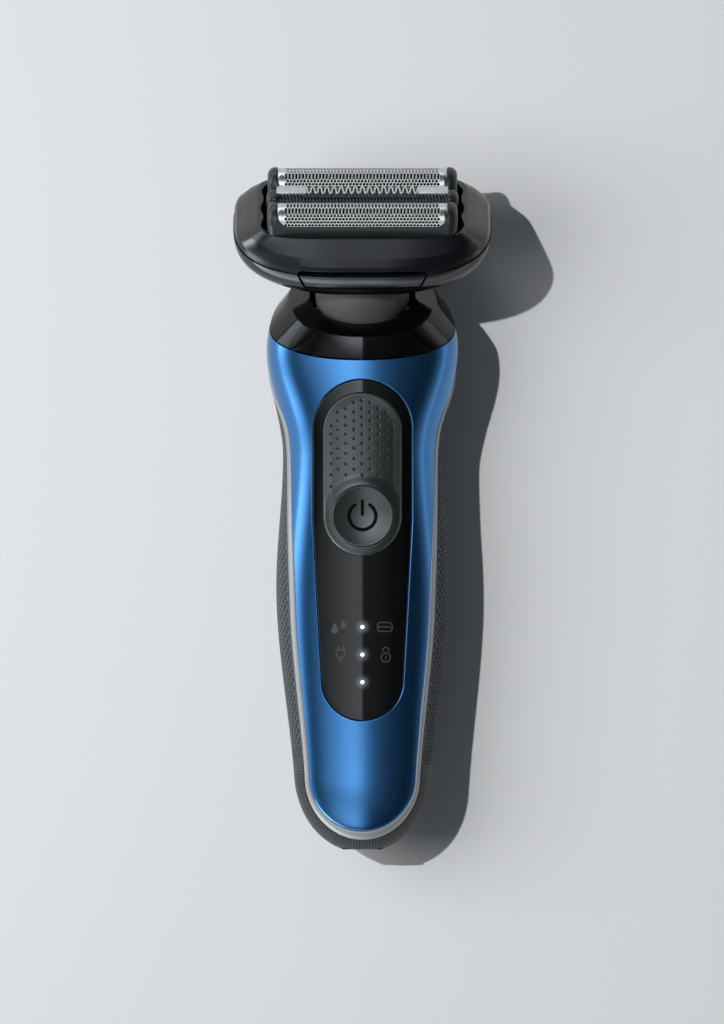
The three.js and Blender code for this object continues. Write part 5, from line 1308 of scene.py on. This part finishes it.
def cheek_shell(y, side):
    """A cheek: a section like an arch on a box, swept along x, drawn in at its outer edge by a rounding."""
    turn = np.radians(np.linspace(0, 180, 33))
    flank, low, ease = SHROUD_R + 0.16, CHEEK_LOW, 0.4
    ry = np.concatenate([np.cos(turn) * SHROUD_R, [-flank, -flank, ease - flank], np.linspace(-3, 3, 7),
                         [flank - ease, flank, flank]])
    rh = np.concatenate([np.sin(turn) * SHROUD_R, [-0.6, low + ease, low], np.full(7, low),
                         [low, low + ease, -0.6]])
    rounding = np.radians(np.arange(5, 90, 10))
    steps = [(CHEEK_START - 0.02, 0.12), (CHEEK_START, 0.0)]
    steps += [(CHEEK_END - CHEEK_ROUND * (1 - math.sin(a)), CHEEK_ROUND * (1 - math.cos(a)))
              for a in rounding]
    rows = []
    for x, drawn in steps:
        share = 1 - drawn / SHROUD_R
        rows.append(from_head(side * x, y + ry * share, FOIL_AXIS + np.maximum(rh * share, low)))
    return bar(np.stack(rows))


for place_name, y in (("front", -ELEMENT_PITCH), ("rear", ELEMENT_PITCH)):
    shells = [lip_shell(y, -1), lip_shell(y, 1), cheek_shell(y, -1), cheek_shell(y, 1),
              *trough(y, half=4.5, wall=0.9, rail_top=22.45)]
    new_piece(f"{place_name}_shroud", shells, f"{place_name}_float", carrier_plastic,
              [f"{place_name}_foil_carrier"], sharp=32)

# %% [markdown]
# ## The trimmer
# Between the foils sits the long-hair trimmer: a ground steel comb whose middle is folded into narrow teeth,
# and a dark toothed rack in front of it. Seen from above the teeth are one ribbon that runs to and fro across
# the comb. It is made as that: a ribbon along a wave, a cosine squared off by a hyperbolic tangent.

# %% The trimmer's comb
COMB_TOP, COMB_THICK, COMB_FRONT, COMB_BACK = 29.5, 0.5, -0.75, 2.35
TOOTH_PITCH, TEETH_HALF, RIBBON = 1.67, 13.36, 0.23
STEEPNESS = 1.8                                     # how square the wave is: a cosine at 0


def plate(x0, x1, y0, y1, top, thick, ease=0.12):
    """Shell of a flat plate with eased upper edges."""
    rows = []
    for grow, sunk in ((-ease, 0), (-0.3 * ease, 0.3 * ease), (0, ease), (0, thick)):
        px = np.array([x0 - grow, x1 + grow, x1 + grow, x0 - grow])
        py = np.array([y0 - grow, y0 - grow, y1 + grow, y1 + grow])
        rows.append(from_head(px, py, top - sunk))
    return bar(np.stack(rows))


wave_x = np.linspace(-TEETH_HALF, TEETH_HALF, 16 * 24 + 1)
swing = np.tanh(STEEPNESS * np.cos(2 * np.pi * wave_x / TOOTH_PITCH)) / np.tanh(STEEPNESS)
wave_y = (COMB_FRONT + COMB_BACK) / 2 + (COMB_BACK - COMB_FRONT - 2 * RIBBON) / 2 * swing


def ribbon(path, half, top, thick):
    """Shell of a flat ribbon along a path, in the head's axes."""
    along = np.gradient(path, axis=0)
    along /= np.linalg.norm(along, axis=1, keepdims=True)
    side = np.stack([-along[:, 1], along[:, 0]], axis=1)
    profile = [(-1, thick), (-1, 0.1), (-0.7, 0), (0.7, 0), (1, 0.1), (1, thick)]
    grid = [from_head(path[:, 0] + side[:, 0] * half * s, path[:, 1] + side[:, 1] * half * s,
                      top - d) for s, d in profile]
    return bar(np.stack(grid, axis=1))


comb = [plate(-FOIL_HALF, -TEETH_HALF + 0.2, COMB_FRONT, COMB_BACK, COMB_TOP, COMB_THICK),
        plate(TEETH_HALF - 0.2, FOIL_HALF, COMB_FRONT, COMB_BACK, COMB_TOP, COMB_THICK),
        ribbon(np.stack([wave_x, wave_y], axis=1), RIBBON, COMB_TOP, COMB_THICK)]
new_piece("trimmer_comb_guard", comb, "trimmer_float", comb_steel, ["trimmer_comb"], sharp=40)

# %% The rack in front of the comb, and the trimmer's cheeks
RACK_FRONT, RACK_LOW, RACK_HALF, RIB_PITCH, RIB = -2.45, 27.9, 20.0, 0.78, 0.22
CHEEK_Y, CHEEK_H, CHEEK_HALF, CHEEK_RISE, CHEEK_FULL = -0.1, 27.0, 2.55, 2.45, 2.8
# The cheek's size at distances from the middle.
TRIMMER_CHEEK = [(19.9, 0.85), (20.0, 0.96), (20.2, 1.0), (20.8, 1.0), (21.3, 0.96), (21.7, 0.9),
                 (22.05, 0.8), (22.3, 0.68), (22.48, 0.52), (22.57, 0.35), (22.6, 0.15)]
rib_count = int(2 * RACK_HALF / RIB_PITCH)
x = np.linspace(-RACK_HALF, RACK_HALF, rib_count * 8 + 1)
down = np.linspace(0, 1, 12)[:, None]
lean = x - 0.5 * down
fading = np.sin(np.pi * np.clip(down * 1.15, 0, 1))
rib = RIB * np.clip(np.cos(2 * np.pi * lean / RIB_PITCH) * 1.6, -1, 1) * fading
rack_back, rack_top = COMB_FRONT + 0.25, COMB_TOP - 0.3
rack_y = rack_back + (RACK_FRONT - rack_back) * down - rib * 0.6
rack_h = rack_top + (RACK_LOW - rack_top) * down + rib * 0.5
under_y = np.broadcast_to(-0.3 - 1.2 * down, rack_h.shape)
rack = slab(from_head(x, rack_y, rack_h), from_head(x, under_y, RACK_LOW))
new_piece("trimmer_rack", [rack], "trimmer_float", blade_steel, sharp=60)


def trimmer_cheek(side):
    """A rounded block at an end of the trimmer: superellipse rings across x that shrink towards its end."""
    turn = np.radians(np.linspace(0, 360, 48, endpoint=False))
    rows = []
    for x, share in TRIMMER_CHEEK:
        rows.append(from_head(side * x, CHEEK_Y + CHEEK_HALF * share * power(np.cos(turn), 2 / CHEEK_FULL),
                              CHEEK_H + CHEEK_RISE * share * power(np.sin(turn), 2 / CHEEK_FULL)))
    return bar(np.stack(rows))


shells = [trimmer_cheek(-1), trimmer_cheek(1), *trough(0.0, half=2.6, wall=0.55, rail_top=27.3)]
new_piece("trimmer_cheeks", shells, "trimmer_float", carrier_plastic, ["trimmer_carrier"])

# %% [markdown]
# ## Finishes of the solids that stay
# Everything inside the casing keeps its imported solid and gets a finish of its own: the board its green
# lacquer with copper showing through, the battery its printed sleeve, the motor its drawn steel can.

# %% Finishes of the inner parts
# Green, with a lighter net of copper under it.
board, tree, shader, place = finish("green_solder_resist", "#14532d", 0.35, Coat_Weight=0.3)
cells = node(tree, "ShaderNodeTexBrick", {"Vector": place}, {"Scale": 1 / (3.2 * MM), "Mortar Size": 0.06})
for socket, colour in (("Color1", "#14532d"), ("Color2", "#18603a"), ("Mortar", "#3d7a35")):
    cells.inputs[socket].default_value = linear(colour)
tree.links.new(cells.outputs["Color"], shader.inputs["Base Color"])

# Blue film, a little wrinkled.
wrap, tree, shader, place = finish("printed_battery_sleeve", "#2b4a86", 0.3)
grain(tree, shader, place, 2.5, 0.01, 0.05, stretch=(1, 0.3, 1))
# Light grey, drawn lengthwise.
steel, tree, shader, place = finish("drawn_steel", "#b9bbbd", 0.3, 1.0)
grain(tree, shader, place, 0.3, 0.003, 0.06, stretch=(1, 0.2, 1))

by_slot = {"satin_black": satin, "grip_rubber": rubber, "soft_touch": soft, "steel": steel,
           "foil_steel": foil_steel, "contact_brass": brass, "board_green": board, "battery_wrap": wrap,
           "light_white": lens_glow, "blue_lacquer": lacquer, "satin_silver": silver, "gloss_black": gloss,
           "neck_grey": neck_plastic}
by_node = dict.fromkeys(("front_cutter", "rear_cutter", "middle_blade"), blade_steel)
slots = {part["node"]: part["material_slot"] for part in frame["record"]["subparts"]}
for name, obj in frame["nodes"].items():
    obj.data.materials.clear()
    obj.data.materials.append(by_node.get(name, by_slot[slots[name]]))
print("solids with a finish:", len(frame["nodes"]))

# %% [markdown]
# ## The studio
# The shaver lies on pale paper. A far lamp high on the left draws the crisp shadow, and a soft one low on the
# left fills in. What the gloss surfaces mirror is the room: a large white card over the left half of the
# ceiling, up to a straight edge over the shaver's middle line, a dark half on the right, and paler walls near
# the horizon. Only mirrored rays see them. Rays that spread from matte surfaces see a dim even room, which
# keeps the shadow deep. Each brightness is a profile: over the lean of the ray from straight up to level for
# the two halves, and from the shaver's foot side to its head side for the card.

# %% Floor
FLOOR_REACH = 3.0
corners = [(-1, -1), (1, -1), (1, 1), (-1, 1)]
floor_mesh = bpy.data.meshes.new("floor")
floor_mesh.from_pydata([(x * FLOOR_REACH, y * FLOOR_REACH, 0) for x, y in corners], [], [(0, 1, 2, 3)])
floor = bpy.data.objects.new("floor", floor_mesh)
bpy.context.scene.collection.objects.link(floor)
# A pale even ground that takes the shadow.
paper, tree, shader, place = finish("pale_paper", "#e3e5e7", 0.9)
grain(tree, shader, place, 1.5, 0.002, 0.03)
floor_mesh.materials.append(paper)
print("floor, m across:", 2 * FLOOR_REACH)

# %% The room as the gloss sees it
world = bpy.data.worlds.new("studio")
bpy.context.scene.world = world
world.use_nodes = True
tree = world.node_tree
tree.nodes.clear()
looking = node(tree, "ShaderNodeTexCoord").outputs["Generated"]
parts = node(tree, "ShaderNodeSeparateXYZ", {0: looking})
CARD = [(0.0, 3.2), (0.05, 2.2), (0.12, 1.7), (0.22, 1.2), (0.35, 0.75), (0.5, 0.35), (0.6, 0.1), (0.72, 0.2),
        (0.82, 1.6), (0.92, 2.8), (1.0, 3.3)]
BRIGHTEST, EVEN_ROOM = 4.0, 0.085
DARK = [(0.0, 0.3), (0.1, 0.2), (0.25, 0.09), (0.5, 0.03), (0.7, 0.03), (0.86, 0.3), (0.93, 0.9), (1.0, 1.1)]
ALONG = [(0.0, 1.1), (0.1, 1.9), (0.18, 2.8), (0.28, 1.6), (0.4, 0.6), (0.5, 1.0), (0.6, 2.4), (0.68, 2.4),
         (0.76, 0.8), (1.0, 0.9)]
PALE_BLUE = (0.89, 0.945, 1.0, 1.0)


def profile_ramp(source, stops):
    """A colour ramp that gives each stop's value over BRIGHTEST, multiplied back to its real value."""
    ramp = node(tree, "ShaderNodeValToRGB", {"Fac": source})
    while len(ramp.color_ramp.elements) < len(stops):
        ramp.color_ramp.elements.new(0.5)
    for element, (at, value) in zip(ramp.color_ramp.elements, stops):
        element.position = at
        element.color = (value / BRIGHTEST,) * 3 + (1.0,)
    return maths(tree, "MULTIPLY", ramp.outputs["Color"], BRIGHTEST)


lean = maths(tree, "ARCCOSINE", parts.outputs["Z"])
share = maths(tree, "DIVIDE", lean, math.pi / 2, use_clamp=True)
towards_head = node(tree, "ShaderNodeMapRange", {"Value": parts.outputs["Y"]},
                    {"From Min": -1.0, "From Max": 1.0})
card = maths(tree, "MULTIPLY", profile_ramp(share, CARD), profile_ramp(towards_head.outputs["Result"], ALONG))
on_left = maths(tree, "LESS_THAN", parts.outputs["X"], 0.0)
mirrored_room = node(tree, "ShaderNodeMix", {"Factor": on_left, "A": profile_ramp(share, DARK), "B": card},
                     data_type="FLOAT")
rays = node(tree, "ShaderNodeLightPath")
seen = node(tree, "ShaderNodeMix",
            {"Factor": rays.outputs["Is Glossy Ray"], "B": mirrored_room.outputs["Result"]}, data_type="FLOAT")
seen.inputs["A"].default_value = EVEN_ROOM
background = node(tree, "ShaderNodeBackground", {"Strength": seen.outputs["Result"]},
                  {"Color": PALE_BLUE})
node(tree, "ShaderNodeOutputWorld", {"Surface": background.outputs["Background"]})

# %% [markdown]
# The lamps point at the shaver from where they stand. The camera looks straight down, from far enough away
# that the sides of the shaver hardly show.

# %% Lamps
SUN_LEAN = Vector((-0.42, 0.185, 1.0))               # towards the lamp, per metre of height


def add_lamp(name, kind, place, energy, **settings):
    """A lamp at a place that points at the shaver, and that gloss doesn't mirror."""
    data = bpy.data.lights.new(name, kind)
    data.energy = energy
    for key, value in settings.items():
        setattr(data, key, value)
    lamp = bpy.data.objects.new(name, data)
    lamp.location = place
    lamp.rotation_euler = Vector(place).to_track_quat("Z", "Y").to_euler()
    lamp.visible_glossy = False
    bpy.context.scene.collection.objects.link(lamp)


add_lamp("far_lamp", "SUN", SUN_LEAN * 2, 1.72, angle=math.radians(0.9))
add_lamp("soft_fill", "AREA", (-0.38, 0.05, 0.42), 1.65, size=0.4)

# %% Camera
CAMERA_HEIGHT, VIEW_HEIGHT, SENSOR = 3.0, 0.2421, 24.0
camera_data = bpy.data.cameras.new("camera")
camera_data.sensor_fit, camera_data.sensor_height = "VERTICAL", SENSOR
camera_data.lens = SENSOR * (CAMERA_HEIGHT - 0.02) / VIEW_HEIGHT
camera_data.clip_end = 20
camera = bpy.data.objects.new("camera", camera_data)
camera.location = (-0.0001, -0.0008, CAMERA_HEIGHT)
bpy.context.scene.collection.objects.link(camera)
bpy.context.scene.camera = camera
bpy.context.scene.view_settings.view_transform = "Standard"
